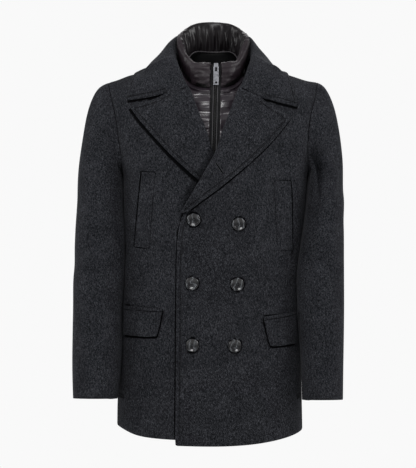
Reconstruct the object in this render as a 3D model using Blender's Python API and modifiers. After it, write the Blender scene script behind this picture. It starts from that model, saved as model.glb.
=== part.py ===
"""Double-breasted short wool coat with a zipped, quilted neck insert.

Metres, +Z up. The wearer faces -Y, so the wearer's left is +X. The origin lies midway
between the two points where the shoulders meet the neck. The coat hangs filled out, as
worn, and every cloth piece is a wall round that hollow.

The body cloth follows one smooth torso surface. A panel is a patch of it, and whatever
lies on a panel (lapel, collar leaf, pocket, button) is made from the same surface, moved
out. Walls that meet at a seam share their points and the direction of their thickness,
which is why they are lofted in two layers here and not left to a Solidify each.
"""
import math

import bpy
import bmesh
import numpy as np
from mathutils import Matrix, Vector

# ---------------------------------------------------------------- driving sizes
WOOL = 0.003            # wall of the body cloth: melton with its lining
LEAF_WALL = 0.0032      # wall of lapels and collar: two cloths pressed together
SEAM_GAP = 0.0003       # between two pieces that are sewn edge to edge
BENT_SEAM = 0.0012      # the same where the cloth bends at the seam: sleeves and neckline
LYING_GAP = 0.0013      # between a piece and the panel it lies on
SLEEVE_CLEAR = 0.0022   # between a sleeve and the side of the body
ROLL_RADIUS = 0.0046    # outside of the fold where a lapel or the collar turns over
SECTION_POWER = 2.4     # 2 is an ellipse, more is squarer
SHOULDER_Y = 0.005      # the shoulder ridge, front to back
SHOULDER_SLOPE = 0.35
SHOULDER_ROLL = 0.055   # height over which the chest and back turn in to the ridge
NECK_CLIMB = 0.075      # how much higher the ridge is at the neck, if it ran on inwards
NECK_SPREAD = 0.055     # and how soon that ends, outwards
NECK_HALF = 0.088       # shoulder-neck point from the neck's centre
NECK_X = 0.008          # the neck's centre, across: the coat hangs a little askew
SEAM_DROP = 0.008       # the shoulder seam lies this far below the ridge, in front
PIT_Z = -0.250          # underarm
TIP_HALF = 0.217        # shoulder tip from the body's centre
BREAK_Z = -0.317        # where the left lapel starts to turn
NECKLINE_Z = -0.0685    # where the neckline meets the lapels' roll
BACK_HEM_Z = -0.762
LEFT_HEM_DIP = 0.017
RIGHT_HEM_DIP = 0.006
HEM_POWER = 2.2         # 2 is a parabola, more keeps the hem level for longer
NECK_STEP = 0.008       # last row of the back at the neck, under the neckline
OVERLAP_OUT = 0.0044    # how far the upper front stands off the torso where it laps over
LAPEL_OUT = 0.0062      # and how much more where the right lapel lies between the two
LAPEL_STEP = 0.032      # height over which the front rises by that much
LAP_START = 0.006       # where that ends, past the under front's edge
LAP_FADE = 0.075        # width over which it comes back to the torso beyond that
SEAM_FADE = 0.15        # share of a row, at the seam, over which its folds and lap end

# Torso: outer face of the cloth at each height.
TORSO_COLUMNS = ("z", "half_width", "front", "back", "centre_x")
TORSO = (
    (-0.820, 0.1960, 0.1310, 0.1240, 0.000),
    (-0.700, 0.1925, 0.1290, 0.1190, 0.000),
    (-0.600, 0.1870, 0.1265, 0.1120, 0.001),
    (-0.500, 0.1820, 0.1250, 0.1040, 0.002),
    (-0.400, 0.1815, 0.1260, 0.0990, 0.005),
    (-0.320, 0.1835, 0.1290, 0.1030, 0.005),
    (-0.250, 0.1890, 0.1300, 0.1120, 0.004),
    (-0.215, 0.2000, 0.1285, 0.1160, 0.004),
    (-0.175, 0.2110, 0.1235, 0.1180, 0.005),
    (-0.130, 0.2210, 0.1140, 0.1170, 0.006),
    (-0.080, 0.2300, 0.0990, 0.1110, 0.008),
    (-0.030, 0.2380, 0.0820, 0.1010, 0.009),
    (0.020, 0.2440, 0.0700, 0.0920, 0.009),
)

# Armhole: how far out from the body's centre each panel reaches at each height.
ARMHOLE_COLUMNS = ("z", "front", "back")
ARMHOLE = (
    (-0.2500, 0.1890, 0.1890),
    (-0.2350, 0.1905, 0.1900),
    (-0.2150, 0.1908, 0.1890),
    (-0.1900, 0.1920, 0.1890),
    (-0.1600, 0.1950, 0.1915),
    (-0.1300, 0.1990, 0.1950),
    (-0.1000, 0.2050, 0.2005),
    (-0.0750, 0.2120, 0.2080),
    (-0.0445, 0.2170, 0.2170),
)

# Heights of the panels' rows: below the underarm, and of the fronts' edges above it.
LOW_HEIGHTS = (-0.762, -0.690, -0.620, -0.550, -0.480, -0.415, -0.355, -0.317, -0.285)
EDGE_HEIGHTS = (-0.250, -0.220, -0.189, -0.158, -0.128, -0.098, NECKLINE_Z, -0.048, -0.028, -0.012)

# Neckline of the back, from beside the centre to the ridge: across and height.
BACK_NECK = ((0.000, 0.0040), (0.027, 0.0045), (0.050, 0.0060), (0.066, 0.0080), (0.076, 0.0105),
             (0.082, 0.0100))

# Front edge of each front panel: the lapel turns over it above BREAK_Z.
EDGE_COLUMNS = ("z", "x")
LEFT_FRONT_EDGE = (     # laps over
    (-0.8000, -0.0665),
    (-0.6100, -0.0654),
    (-0.4900, -0.0646),
    (-0.3850, -0.0625),
    (-0.3450, -0.0590),
    (-0.3170, -0.0490),
    (-0.3010, -0.0390),
    (-0.2520, -0.0110),
    (-0.2000, 0.0165),
    (-0.1530, 0.0315),
    (-0.1100, 0.0490),
    (-0.0700, 0.0640),
    (-0.0390, 0.0810),
    (-0.0080, 0.0960),
)
RIGHT_FRONT_EDGE = (    # lies under
    (-0.8000, 0.0860),
    (-0.4000, 0.0855),
    (-0.3450, 0.0790),
    (-0.3170, 0.0680),
    (-0.2600, 0.0370),
    (-0.2000, 0.0010),
    (-0.1700, -0.0070),
    (-0.1475, -0.0150),
    (-0.1190, -0.0270),
    (-0.0930, -0.0370),
    (-0.0700, -0.0460),
    (-0.0390, -0.0640),
    (-0.0080, -0.0800),
)

# Sleeves: a ring at each height. inner is the side towards the body.
SLEEVE_COLUMNS = ("z", "inner", "outer", "centre_y", "half_depth")
RIGHT_SLEEVE = (
    (-0.292, 0.1800, 0.2750, -0.014, 0.0690),
    (-0.371, 0.1715, 0.2785, -0.027, 0.0650),
    (-0.434, 0.1725, 0.2795, -0.036, 0.0620),
    (-0.494, 0.1755, 0.2800, -0.045, 0.0600),
    (-0.554, 0.1765, 0.2800, -0.053, 0.0585),
    (-0.614, 0.1780, 0.2800, -0.061, 0.0575),
    (-0.655, 0.1825, 0.2790, -0.066, 0.0565),
    (-0.700, 0.1875, 0.2770, -0.071, 0.0555),
)
LEFT_SLEEVE = (
    (-0.292, 0.1950, 0.2780, -0.014, 0.0710),
    (-0.371, 0.1890, 0.2780, -0.026, 0.0680),
    (-0.412, 0.1826, 0.2776, -0.032, 0.0650),
    (-0.444, 0.1785, 0.2770, -0.037, 0.0630),
    (-0.485, 0.1760, 0.2765, -0.044, 0.0610),
    (-0.553, 0.1790, 0.2750, -0.053, 0.0590),
    (-0.634, 0.1850, 0.2725, -0.063, 0.0570),
    (-0.704, 0.1877, 0.2705, -0.072, 0.0555),
)
SLEEVE_TILT = 0.17      # the forearm comes forward, so each ring's front edge is higher
SLEEVE_POWER = 2.25
SLEEVE_DEPTH_PULL = 0.30    # how much a sleeve head's sides reach forward and back
SLEEVE_DROP_PULL = 0.25     # and how much its top falls, as it leaves the shoulder
SLEEVE_ARRIVE = (0.0, -0.075, -0.75)    # how it comes in above the first straight ring
LEFT_CAP_PULL = 0.76    # how far the sleeve head reaches out before it turns down
RIGHT_CAP_PULL = 0.94
CAP_PULL_PIT = 0.35
CAP_STEPS = (0.10, 0.22, 0.36, 0.52, 0.70, 0.86)
SLEEVE_HEIGHTS = (-0.292, -0.328, -0.352, -0.374, -0.396, -0.418, -0.440, -0.466, -0.505, -0.560,
                  -0.630, -0.698)
UNDER_FRONT = 3         # the under sleeve reaches this many columns forward of the underarm
UNDER_BACK = 3

# Soft folds of the sleeves, each as its height, the turn where it is deepest, how far round it
# reaches, half its height, its slant and its depth. Turns are in degrees: 0 faces the body,
# 90 the front, 180 outwards, 270 the back.
FOLD_RIDGE = 0.6        # the ridge below a trough, as a share of its depth
RIGHT_FOLDS = (
    (-0.390, 120, 42, 0.020, -0.00055, 0.0060),
    (-0.440, 75, 36, 0.018, 0.00060, 0.0050),
    (-0.345, 250, 44, 0.020, 0.00050, 0.0050),
    (-0.420, 290, 40, 0.020, -0.00040, 0.0050),
)
LEFT_FOLDS = (
    (-0.205, 112, 34, 0.018, 0.00120, 0.0070),
    (-0.268, 150, 36, 0.016, 0.00080, 0.0040),
    (-0.420, 80, 38, 0.020, -0.00050, 0.0050),
    (-0.360, 255, 44, 0.020, 0.00050, 0.0050),
    (-0.435, 285, 40, 0.020, -0.00040, 0.0050),
)

# Soft folds of the body cloth: across, height, half width, half height, lift off the surface.
DRAPES = (
    (-0.150, -0.620, 0.022, 0.150, 0.0035),
    (0.150, -0.640, 0.024, 0.150, 0.0035),
    (-0.125, -0.170, 0.030, 0.050, -0.0025),
    (0.140, -0.190, 0.030, 0.050, -0.0025),
)

# Lapels and collar leaf meet at the gorge, a seam from the roll to the notch. Beyond it the
# lapel's top runs to its peak and the leaf's end to its tip. All as (x, z) on the front.
LEFT_NOTCH = (0.1005, -0.0843)
RIGHT_NOTCH = (-0.0830, -0.0742)
GORGE_HALF_GAP = 0.0006
LEFT_LAPEL_TOP = ((0.1250, -0.1032), (0.1490, -0.1172), (0.1602, -0.1285))
RIGHT_LAPEL_TOP = ((-0.1040, -0.0862), (-0.1400, -0.0972), (-0.1590, -0.1030))
LEFT_LEAF_END = ((0.1270, -0.0905), (0.1530, -0.0963), (0.1770, -0.1010))
RIGHT_LEAF_END = ((-0.1106, -0.0810), (-0.1417, -0.0856), (-0.1660, -0.0877))

# The lapels' outer edges from the peak down to the break.
LEFT_LAPEL_EDGE = ((0.1602, -0.1285), (0.1340, -0.1630), (0.1107, -0.1890), (0.0726, -0.2240),
                   (0.0228, -0.2657), (-0.0367, -0.3094), (-0.0440, -0.3165))
RIGHT_LAPEL_EDGE = ((-0.1590, -0.1030), (-0.1290, -0.1450), (-0.1008, -0.1735),
                    (-0.0766, -0.2020), (-0.0507, -0.2257), (-0.0209, -0.2526),
                    (-0.0080, -0.2640))
RIGHT_LAPEL_END_Z = -0.240   # where the right lapel's roll ends, under the left front
RIGHT_LAPEL_LOW_Z = -0.317   # the left front lies flat on the right again below this

# Collar: the roll line and the fall's edge, from the centre back to the notch.
# x is from the neck's centre. share is the way along the neckline, 0 back, 1 front.
COLLAR_COLUMNS = ("share", "roll_x", "roll_y", "roll_z", "edge_x", "edge_y", "edge_z")
RIGHT_COLLAR = (
    (0.00, 0.0000, 0.0940, 0.0740, 0.0000, 0.1210, -0.0160),
    (0.12, 0.0310, 0.0895, 0.0725, 0.0520, 0.1180, -0.0190),
    (0.27, 0.0630, 0.0700, 0.0690, 0.1010, 0.0990, -0.0265),
    (0.39, 0.0730, 0.0430, 0.0600, 0.1320, 0.0690, -0.0270),
    (0.52, 0.0780, 0.0110, 0.0400, 0.1500, 0.0240, -0.0210),
    (0.66, 0.0775, -0.0230, 0.0140, 0.1590, -0.0260, -0.0290),
    (0.74, 0.0750, -0.0460, -0.0010, 0.1635, -0.0430, -0.0410),
    (0.82, 0.0690, -0.0680, -0.0195, 0.1675, -0.0530, -0.0540),
    (0.91, 0.0595, -0.0835, -0.0435, 0.1715, -0.0610, -0.0690),
    (1.00, 0.0490, -0.0905, -0.0695, 0.1740, -0.0680, -0.0870),
)
LEFT_COLLAR = (
    (0.00, 0.0000, 0.0940, 0.0740, 0.0000, 0.1210, -0.0160),
    (0.12, 0.0310, 0.0895, 0.0725, 0.0520, 0.1180, -0.0190),
    (0.27, 0.0630, 0.0700, 0.0690, 0.1010, 0.0990, -0.0265),
    (0.39, 0.0730, 0.0430, 0.0605, 0.1300, 0.0690, -0.0265),
    (0.52, 0.0780, 0.0110, 0.0405, 0.1440, 0.0240, -0.0205),
    (0.66, 0.0780, -0.0230, 0.0150, 0.1515, -0.0260, -0.0310),
    (0.74, 0.0760, -0.0460, -0.0005, 0.1560, -0.0430, -0.0450),
    (0.82, 0.0700, -0.0680, -0.0190, 0.1605, -0.0530, -0.0600),
    (0.91, 0.0615, -0.0835, -0.0435, 0.1655, -0.0610, -0.0790),
    (1.00, 0.0510, -0.0905, -0.0695, 0.1700, -0.0680, -0.0990),
)
COLLAR_BULGE = 0.006    # the fall is a little rounded
COLLAR_LIES_Y = -0.030  # forward of this the fall's edge lies on the fronts

# Neck insert: a padded stand collar and two quilted fronts joined by a zip.
INSERT_X = 0.0075
INSERT_RING_COLUMNS = ("share", "low_x", "low_y", "low_z", "top_x", "top_y", "top_z")
INSERT_RING = (         # share: 0 centre back, 1 centre front
    (0.00, 0.0000, 0.0600, 0.0350, 0.0000, 0.0575, 0.0955),
    (0.18, 0.0360, 0.0510, 0.0270, 0.0410, 0.0460, 0.0895),
    (0.36, 0.0565, 0.0240, 0.0080, 0.0645, 0.0190, 0.0660),
    (0.54, 0.0585, -0.0130, -0.0190, 0.0655, -0.0150, 0.0370),
    (0.72, 0.0480, -0.0480, -0.0450, 0.0530, -0.0460, 0.0090),
    (0.88, 0.0260, -0.0700, -0.0620, 0.0270, -0.0660, -0.0080),
    (1.00, 0.0000, -0.0770, -0.0670, 0.0000, -0.0720, -0.0130),
)
PAD_PROFILE = (         # share of the collar's height, and half its thickness there
    (0.00, 0.0036),
    (0.30, 0.0074),
    (0.65, 0.0080),
    (0.90, 0.0064),
    (0.98, 0.0036),
)
GATHER_DEPTH = 0.0022   # of the collar's lining, behind the neck
GATHERS = 10
GATHER_STEPS = 4
ZIP_X = 0.0137
ZIP_SLANT = 0.025       # the zip's line leans by this much for each metre of height
TAPE_HALF = 0.0103
TAPE_NEAR = 0.0012      # half the gap between the two tapes, where the teeth are
TAPE_WALL = 0.0010
TAPE_SHOWS = 0.0035     # the tapes lie this far in front of the collar's middle line
INSERT_INSET = 0.0085   # the quilted fronts lie this far inside the torso surface
INSERT_WALL = 0.0030
QUILT_PUFF = 0.0050
QUILT_FLAT = 0.0008     # the same where the coat's front lies on the quilting
QUILT_FADE = 0.015      # width over which it is pressed flat
QUILT_LEAN = (3.5, -1.0, 0.25)      # which way it puffs; the first is for a metre out
QUILT_SEAMS = (-0.067, -0.083, -0.1195, -0.154, -0.188, -0.223)
INSERT_LOW_Z = -0.223
INSERT_HALF = 0.105
INSERT_SHOULDER = 0.40  # share of the ring where the fronts stop and the back starts
INSERT_SEAM = 0.0006    # between the padded collar and the quilted fronts
INSERT_BACK_LOW_Z = -0.045
INSERT_BACK_DEEP = 0.078    # no further back than this from the origin
INSERT_BACK_TURN = 6.0  # how fast its facing turns, across
QUILT_COLUMNS = 8
INSERT_BACK_COLUMNS = 13

# Buttons, as (x, z) of their centres.
BUTTON_RADIUS = 0.0135
BUTTON_THICK = 0.0046
BUTTON_STAND = 0.0016   # the shank of thread holds the button this far off the cloth
BUTTON_PLACES = ((-0.0309, -0.3306), (0.0573, -0.3390), (-0.0340, -0.4570),
                 (0.0544, -0.4590), (-0.0337, -0.5800), (0.0496, -0.5810))

# Pockets, as the (x, z) corners: top inner, top outer, bottom outer, bottom inner.
RIGHT_CHEST_WELT = ((-0.1095, -0.2370), (-0.1365, -0.2345), (-0.1487, -0.3832), (-0.1215, -0.3880))
LEFT_CHEST_WELT = ((0.1290, -0.2520), (0.1575, -0.2520), (0.1640, -0.3910), (0.1360, -0.3910))
RIGHT_FLAP = ((-0.0945, -0.5154), (-0.1680, -0.5132), (-0.1690, -0.5646), (-0.1050, -0.5655))
LEFT_FLAP = ((0.1070, -0.5318), (0.1690, -0.5245), (0.1700, -0.5815), (0.1190, -0.5850))
JET_HEIGHT = 0.0065
WELT_WALL = 0.0028
FLAP_WALL = 0.0028
JET_GAP = 0.0008        # between a flap and its jet
CORNER_IN = 0.012       # a rounded corner is drawn in by this share of the piece's width
CORNER_UP = 0.045       # and up by this share of its height

# Zip slider and its pull tab.
SLIDER_TOP_Z = -0.0125
SLIDER_SIZE = (0.0085, 0.0042, 0.0125)
SLIDER_STAND = 0.0012   # the slider's plate, off the tapes
TAB_AXIS_Z = -0.0205
TAB_WIDTH = 0.0106
TAB_LENGTH = 0.0375
TAB_THICK = 0.0016
TAB_BEVEL = 0.0004
RING_MAJOR = 0.00195
RING_MINOR = 0.00060
TAB_BAR = 0.0008        # half the thickness of the tab's bar, in the ring
TAB_WINDOW = (0.0042, 0.0060, 0.0078)
TAB_EYE = 0.0023
TAB_EYE_UP = 0.0050     # the eye's middle, above the tab's lower end

# ---------------------------------------------------------------- finishes
FINISHES = {            # colour, roughness, metallic
    "wool": ((0.020, 0.021, 0.025), 0.90, 0.0),
    "nylon": ((0.045, 0.034, 0.043), 0.35, 0.0),
    "tape": ((0.030, 0.029, 0.033), 0.80, 0.0),
    "horn": ((0.030, 0.030, 0.034), 0.18, 0.0),
    "zip_metal": ((0.46, 0.47, 0.49), 0.30, 1.0),
}


# ---------------------------------------------------------------- reading the tables
def reader(table, columns):
    """A function of (column, place) that runs smoothly through the table's rows."""
    data = np.array(sorted(table), dtype=float)
    knots = data[:, 0]

    def read(column, at):
        values = data[:, columns.index(column)]
        slopes = np.gradient(values, knots)
        at = min(max(float(at), knots[0]), knots[-1])
        low = int(min(max(np.searchsorted(knots, at) - 1, 0), len(knots) - 2))
        span = knots[low + 1] - knots[low]
        t = (at - knots[low]) / span
        return float((1 + 2 * t) * (1 - t) ** 2 * values[low] + t * (1 - t) ** 2 * span * slopes[low]
                     + t * t * (3 - 2 * t) * values[low + 1]
                     - t * t * (1 - t) * span * slopes[low + 1])
    return read


def mirrored(table):
    """The table of one side, (share, x, y, z, x, y, z), with the other side before it."""
    return [(-share, -a, b, c, -d, e, f) for share, a, b, c, d, e, f in table if share > 0] + [*table]


torso = reader(TORSO, TORSO_COLUMNS)
armhole = reader(ARMHOLE, ARMHOLE_COLUMNS)
left_edge = reader(LEFT_FRONT_EDGE, EDGE_COLUMNS)
right_edge = reader(RIGHT_FRONT_EDGE, EDGE_COLUMNS)
insert_ring = reader(mirrored(INSERT_RING), INSERT_RING_COLUMNS)


def unit(vector):
    """The vector at length one."""
    vector = np.asarray(vector, dtype=float)
    return vector / max(np.linalg.norm(vector), 1e-12)


def along(points, shares):
    """Points at the given shares of the length of a polyline."""
    points = np.asarray(points, dtype=float)
    steps = np.linalg.norm(np.diff(points, axis=0), axis=1)
    length = np.concatenate([[0.0], np.cumsum(steps)])
    wanted = np.asarray(shares, dtype=float) * length[-1]
    return np.stack([np.interp(wanted, length, points[:, k]) for k in range(points.shape[1])], 1)


# ---------------------------------------------------------------- the torso surface
def ridge(x):
    """Height of the shoulder ridge at x; it climbs steeply beside the neck."""
    out = abs(x)
    neck = NECK_CLIMB * math.exp(-(out / NECK_SPREAD) ** 2)
    return -SHOULDER_SLOPE * (out - NECK_HALF) + neck


def torso_point(x, z, side):
    """Point of the torso surface at x and z; side is "front" or "back"."""
    from_centre = x - torso("centre_x", z)
    share = min(abs(from_centre) / torso("half_width", z), 1.0)
    bulge = (1.0 - share ** SECTION_POWER) ** (1.0 / SECTION_POWER)
    climb = (z - (ridge(from_centre) - SHOULDER_ROLL)) / SHOULDER_ROLL
    turn = math.sqrt(max(1.0 - min(max(climb, 0.0), 1.0) ** 2, 0.0))
    depth = torso(side, z) * bulge * turn
    return np.array((x, SHOULDER_Y - depth if side == "front" else SHOULDER_Y + depth, z))


def drape(x, z):
    """Height of the soft folds over the torso surface."""
    lift = 0.0
    for fold_x, fold_z, half_width, half_height, height in DRAPES:
        lift += height * math.exp(-((x - fold_x) / half_width) ** 2
                                  - ((z - fold_z) / half_height) ** 2)
    return lift


def lap(x, z):
    """How far the left front stands off the torso surface where it laps over the right."""
    edge = right_edge("x", z)
    fade = min(max((x - edge - LAP_START) / LAP_FADE, 0.0), 1.0)
    over = 1.0 - fade * fade * (3 - 2 * fade)
    high = min(max((z - RIGHT_LAPEL_LOW_Z) / LAPEL_STEP, 0.0), 1.0)
    return (OVERLAP_OUT + LAPEL_OUT * high) * over


def torso_normal(x, z, side):
    """Unit normal of the torso surface at x and z; on the back it points inwards."""
    step = 0.0005
    across = torso_point(x + step, z, side) - torso_point(x - step, z, side)
    up = torso_point(x, z + step, side) - torso_point(x, z - step, side)
    return unit(np.cross(across, up))


def front_point(x, z, out=0.0, lapped=False):
    """Point over the front of the torso, out metres off it along its normal."""
    lift = out + drape(x, z) + (lap(x, z) if lapped else 0.0)
    return torso_point(x, z, "front") + torso_normal(x, z, "front") * lift


def section_row(z_from, x_from, z_to, x_to, side, count, lapped=False):
    """One row of a panel: evenly spaced points from one edge to the other."""
    samples = 90
    sines = []
    for x, z in ((x_from, z_from), (x_to, z_to)):
        share = (x - torso("centre_x", z)) / torso("half_width", z)
        share = max(min(share, 1.0), -1.0)
        sines.append(math.copysign(abs(share) ** (SECTION_POWER / 2), share))
    angles = np.linspace(math.asin(sines[0]), math.asin(sines[1]), samples)
    path = []
    for step, angle in enumerate(angles):
        z = z_from + (z_to - z_from) * step / (samples - 1)
        sine = math.sin(angle)
        x = torso("centre_x", z) + torso("half_width", z) * math.copysign(
            abs(sine) ** (2 / SECTION_POWER), sine)
        point = torso_point(x, z, side)
        outward = unit((x - torso("centre_x", z), (point[1] - SHOULDER_Y) * 2.0, 0.0))
        lift = drape(x, z) if side == "front" else 0.0
        if lapped:
            lift += lap(x, z)
        to_seam = min((samples - 1 - step) / (SEAM_FADE * samples), 1.0)
        path.append(point + outward * lift * to_seam)
    return along(path, np.linspace(0, 1, count))


# ---------------------------------------------------------------- body panels
FRONT_COLUMNS = 11
LOW_ROWS = len(LOW_HEIGHTS)     # hem to underarm
HIGH_ROWS = len(EDGE_HEIGHTS)   # underarm to shoulder
UNDERARM_ROWS = 4               # of them, those where the sleeve folds back sharply


def ring_heights():
    """Heights of the armhole's points, closer together at the underarm."""
    turns = np.linspace(0, 1, HIGH_ROWS + 1)
    eased = 0.65 * turns + 0.35 * (1 - np.cos(np.pi * turns)) / 2
    top = -SHOULDER_SLOPE * (TIP_HALF - NECK_HALF)
    return PIT_Z + (top - PIT_Z) * eased


def hem_drop(x, z, lapped):
    """How far the hem dips at x: most at the middle, the under front a little less."""
    share = min(abs(x - torso("centre_x", z)) / torso("half_width", z), 1.0)
    return (LEFT_HEM_DIP if lapped else RIGHT_HEM_DIP) * (1.0 - share ** HEM_POWER)


def front_panel(sign, edge, lapped):
    """Grid of a front: rows from hem to shoulder, columns from the front edge to the side."""
    rows = []
    for z in LOW_HEIGHTS:
        share = (z - BACK_HEM_Z) / (PIT_Z - BACK_HEM_Z)
        path = []
        side_x = torso("centre_x", z) + sign * torso("half_width", z)
        base = section_row(z, edge("x", z), z, side_x, "front", FRONT_COLUMNS, lapped)
        for point in base:
            dip = hem_drop(point[0], z, lapped) * (1 - share) ** 2
            path.append(point - np.array((0.0, 0.0, dip)))
        rows.append(np.array(path))
    for z_edge, z_side in zip(EDGE_HEIGHTS, ring_heights()):
        side_x = torso("centre_x", z_side) + sign * side_reach("front", z_side)
        rows.append(section_row(z_edge, edge("x", z_edge), z_side, side_x, "front",
                                FRONT_COLUMNS, lapped))
    rows.append(shoulder_seam(sign))
    return np.array(rows)


def side_reach(side, z):
    """How far out from the centre a panel reaches: the side seam, or the armhole above it."""
    return armhole(side, z) if z > PIT_Z + 1e-6 else torso("half_width", z)


def shoulder_seam(sign):
    """The shoulder seam from the neck to the tip, in front of the ridge."""
    tip_z = -SHOULDER_SLOPE * (TIP_HALF - NECK_HALF)
    tip_x = torso("centre_x", tip_z) + sign * TIP_HALF
    neck_x = NECK_X + sign * NECK_HALF
    path = []
    for share in np.linspace(0, 1, 40):
        x = neck_x + (tip_x - neck_x) * share
        z = ridge(x - torso("centre_x", -0.03)) - SEAM_DROP
        path.append(torso_point(x, z, "front"))
    return along(path, np.linspace(0, 1, FRONT_COLUMNS))


def back_tops():
    """Where each column of the back ends, as (x, z): right shoulder, neck, left shoulder."""
    right, left = shoulder_seam(-1)[::-1], shoulder_seam(1)
    over = [(x, ridge(x - torso("centre_x", z))) for x, _, z in (*right, *left)]
    neck = [(NECK_X - x, z) for x, z in BACK_NECK[:0:-1]]
    neck += [(NECK_X + x, z) for x, z in BACK_NECK]
    return over[:FRONT_COLUMNS], neck, over[FRONT_COLUMNS:]


def back_panel():
    """Grid of the back: rows from hem to neckline and shoulder seams, columns right to left."""
    right, neck, left = back_tops()
    tops = [*right, *((x, z - NECK_STEP) for x, z in neck), *left]
    count = len(tops)
    rows = []
    for z in (*LOW_HEIGHTS, PIT_Z):
        centre, half = torso("centre_x", z), torso("half_width", z)
        rows.append(section_row(z, centre - half, z, centre + half, "back", count))
    pit_x = rows[-1][:, 0]
    for z_side in ring_heights()[1:]:
        share = (z_side - PIT_Z) / (ring_heights()[-1] - PIT_Z)
        path = []
        for column, (top_x, top_z) in enumerate(tops):
            x = pit_x[column] + (top_x - pit_x[column]) * share
            path.append(torso_point(x, PIT_Z + (top_z - PIT_Z) * share, "back"))
        for column, sign in ((0, -1), (-1, 1)):
            x = torso("centre_x", z_side) + sign * side_reach("back", z_side)
            path[column] = torso_point(x, z_side, "back")
        rows.append(np.array(path))
    last = [torso_point(x, z, "back") for x, z in neck]
    rows.append(np.array([*shoulder_seam(-1)[::-1], *last, *shoulder_seam(1)]))
    return np.array(rows)


# ---------------------------------------------------------------- sleeves
def armhole_ring(front, back, sign):
    """The armhole's points: underarm, up the front, over the shoulder, down the back."""
    back_side = back[:, 0 if sign < 0 else -1]
    up_front = front[LOW_ROWS:, -1]
    down_back = back_side[LOW_ROWS + 1:-1][::-1]
    return np.array([*up_front, *down_back])


def ring_turns(ring):
    """Turn of each armhole point round the sleeve: 0 at the underarm, pi at the tip."""
    tip = HIGH_ROWS
    closed = np.vstack([ring, ring[:1]])
    steps = np.linalg.norm(np.diff(closed, axis=0), axis=1)
    length = np.concatenate([[0.0], np.cumsum(steps)])
    turns = np.empty(len(ring))
    turns[:tip + 1] = math.pi * length[:tip + 1] / length[tip]
    turns[tip + 1:] = math.pi + math.pi * (length[tip + 1:-1] - length[tip]) / (
        length[-1] - length[tip])
    return turns


def clear_of_body(point, clearance):
    """The point, moved out of the torso if it is in it or too close."""
    z = point[2]
    centre = np.array((torso("centre_x", z), SHOULDER_Y))
    side = "front" if point[1] < SHOULDER_Y else "back"
    climb = (z - (ridge(point[0] - centre[0]) - SHOULDER_ROLL)) / SHOULDER_ROLL
    turn = math.sqrt(max(1.0 - min(max(climb, 0.0), 1.0) ** 2, 0.01))
    half = np.array((torso("half_width", z), torso(side, z) * turn)) + clearance
    share = np.abs((point[:2] - centre) / half) ** SECTION_POWER
    if share.sum() >= 1.0:
        return point
    moved = centre + (point[:2] - centre) * share.sum() ** (-1 / SECTION_POWER)
    return np.array((*moved, z))


def sleeve_fold(folds, turn, z):
    """Height of the sleeve's soft folds: below nought is a trough."""
    depth = 0.0
    for fold_z, fold_turn, reach, half_height, slant, fold_depth in folds:
        off = math.degrees(turn) - fold_turn
        drop = z - (fold_z + slant * off)
        depth -= fold_depth * math.exp(-(off / reach) ** 2 - (drop / half_height) ** 2)
        below = (drop + 2 * half_height) / half_height
        depth += FOLD_RIDGE * fold_depth * math.exp(-(off / reach) ** 2 - below ** 2)
    return depth


def sleeve_grid(ring, sign, table, folds, cap_pull):
    """Grid of a whole sleeve: rows from armhole to cuff, columns round from the underarm."""
    read = reader(table, SLEEVE_COLUMNS)
    turns = ring_turns(ring)

    def low_point(turn, z_centre):
        inner, outer = read("inner", z_centre), read("outer", z_centre)
        half, middle = (outer - inner) / 2, (outer + inner) / 2
        cos, sin = math.cos(turn), math.sin(turn)
        power = 2 / SLEEVE_POWER
        x = sign * (middle - half * math.copysign(abs(cos) ** power, cos))
        forward = read("half_depth", z_centre) * math.copysign(abs(sin) ** power, sin)
        y = read("centre_y", z_centre) - forward
        z = z_centre + SLEEVE_TILT * forward
        fold = sleeve_fold(folds, turn, z)
        return np.array((x - sign * fold * cos, y - fold * sin, z))

    first = [low_point(turn, SLEEVE_HEIGHTS[0]) for turn in turns]
    rows = [ring]
    for step in CAP_STEPS:
        row = []
        for k, turn in enumerate(turns):
            start, end = ring[k], first[k]
            reach = np.linalg.norm(end - start)
            top = (1 - math.cos(turn)) / 2
            side_pull = unit((sign, SLEEVE_DEPTH_PULL * math.sin(turn) * (1 - top),
                              -SLEEVE_DROP_PULL * top))
            start_pull = side_pull * reach * (CAP_PULL_PIT + (cap_pull - CAP_PULL_PIT) * top)
            end_pull = np.array(SLEEVE_ARRIVE) * reach
            t = step
            point = ((1 + 2 * t) * (1 - t) ** 2 * start + t * (1 - t) ** 2 * start_pull
                     + t * t * (3 - 2 * t) * end - t * t * (1 - t) * end_pull)
            fold = sleeve_fold(folds, turn, point[2]) * math.sin(math.pi * min(t * 1.4, 1) / 2)
            point += fold * np.array((-sign * math.cos(turn), -math.sin(turn), 0.0))
            row.append(clear_of_body(point, SLEEVE_CLEAR * min(t / 0.2, 1.0)))
        rows.append(np.array(row))
    for z in SLEEVE_HEIGHTS:
        rows.append(np.array([clear_of_body(low_point(turn, z), SLEEVE_CLEAR) for turn in turns]))
    return np.array(rows)


# ---------------------------------------------------------------- walls
def grid_normals(grid, closed=False, core=None):
    """Unit normals at a grid's points, turned away from the core line (x, y at each row)."""
    if closed:
        wide = np.concatenate([grid[:, -1:], grid, grid[:, :1]], axis=1)
        across = (wide[:, 2:] - wide[:, :-2]) / 2
    else:
        across = np.gradient(grid, axis=1)
    down = np.gradient(grid, axis=0)
    normals = np.cross(across, down)
    lengths = np.linalg.norm(normals, axis=2, keepdims=True)
    normals = normals / np.maximum(lengths, 1e-12)
    if core is not None:
        outward = grid - core
        if (normals * outward).sum() < 0:
            normals = -normals
    return normals


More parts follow.
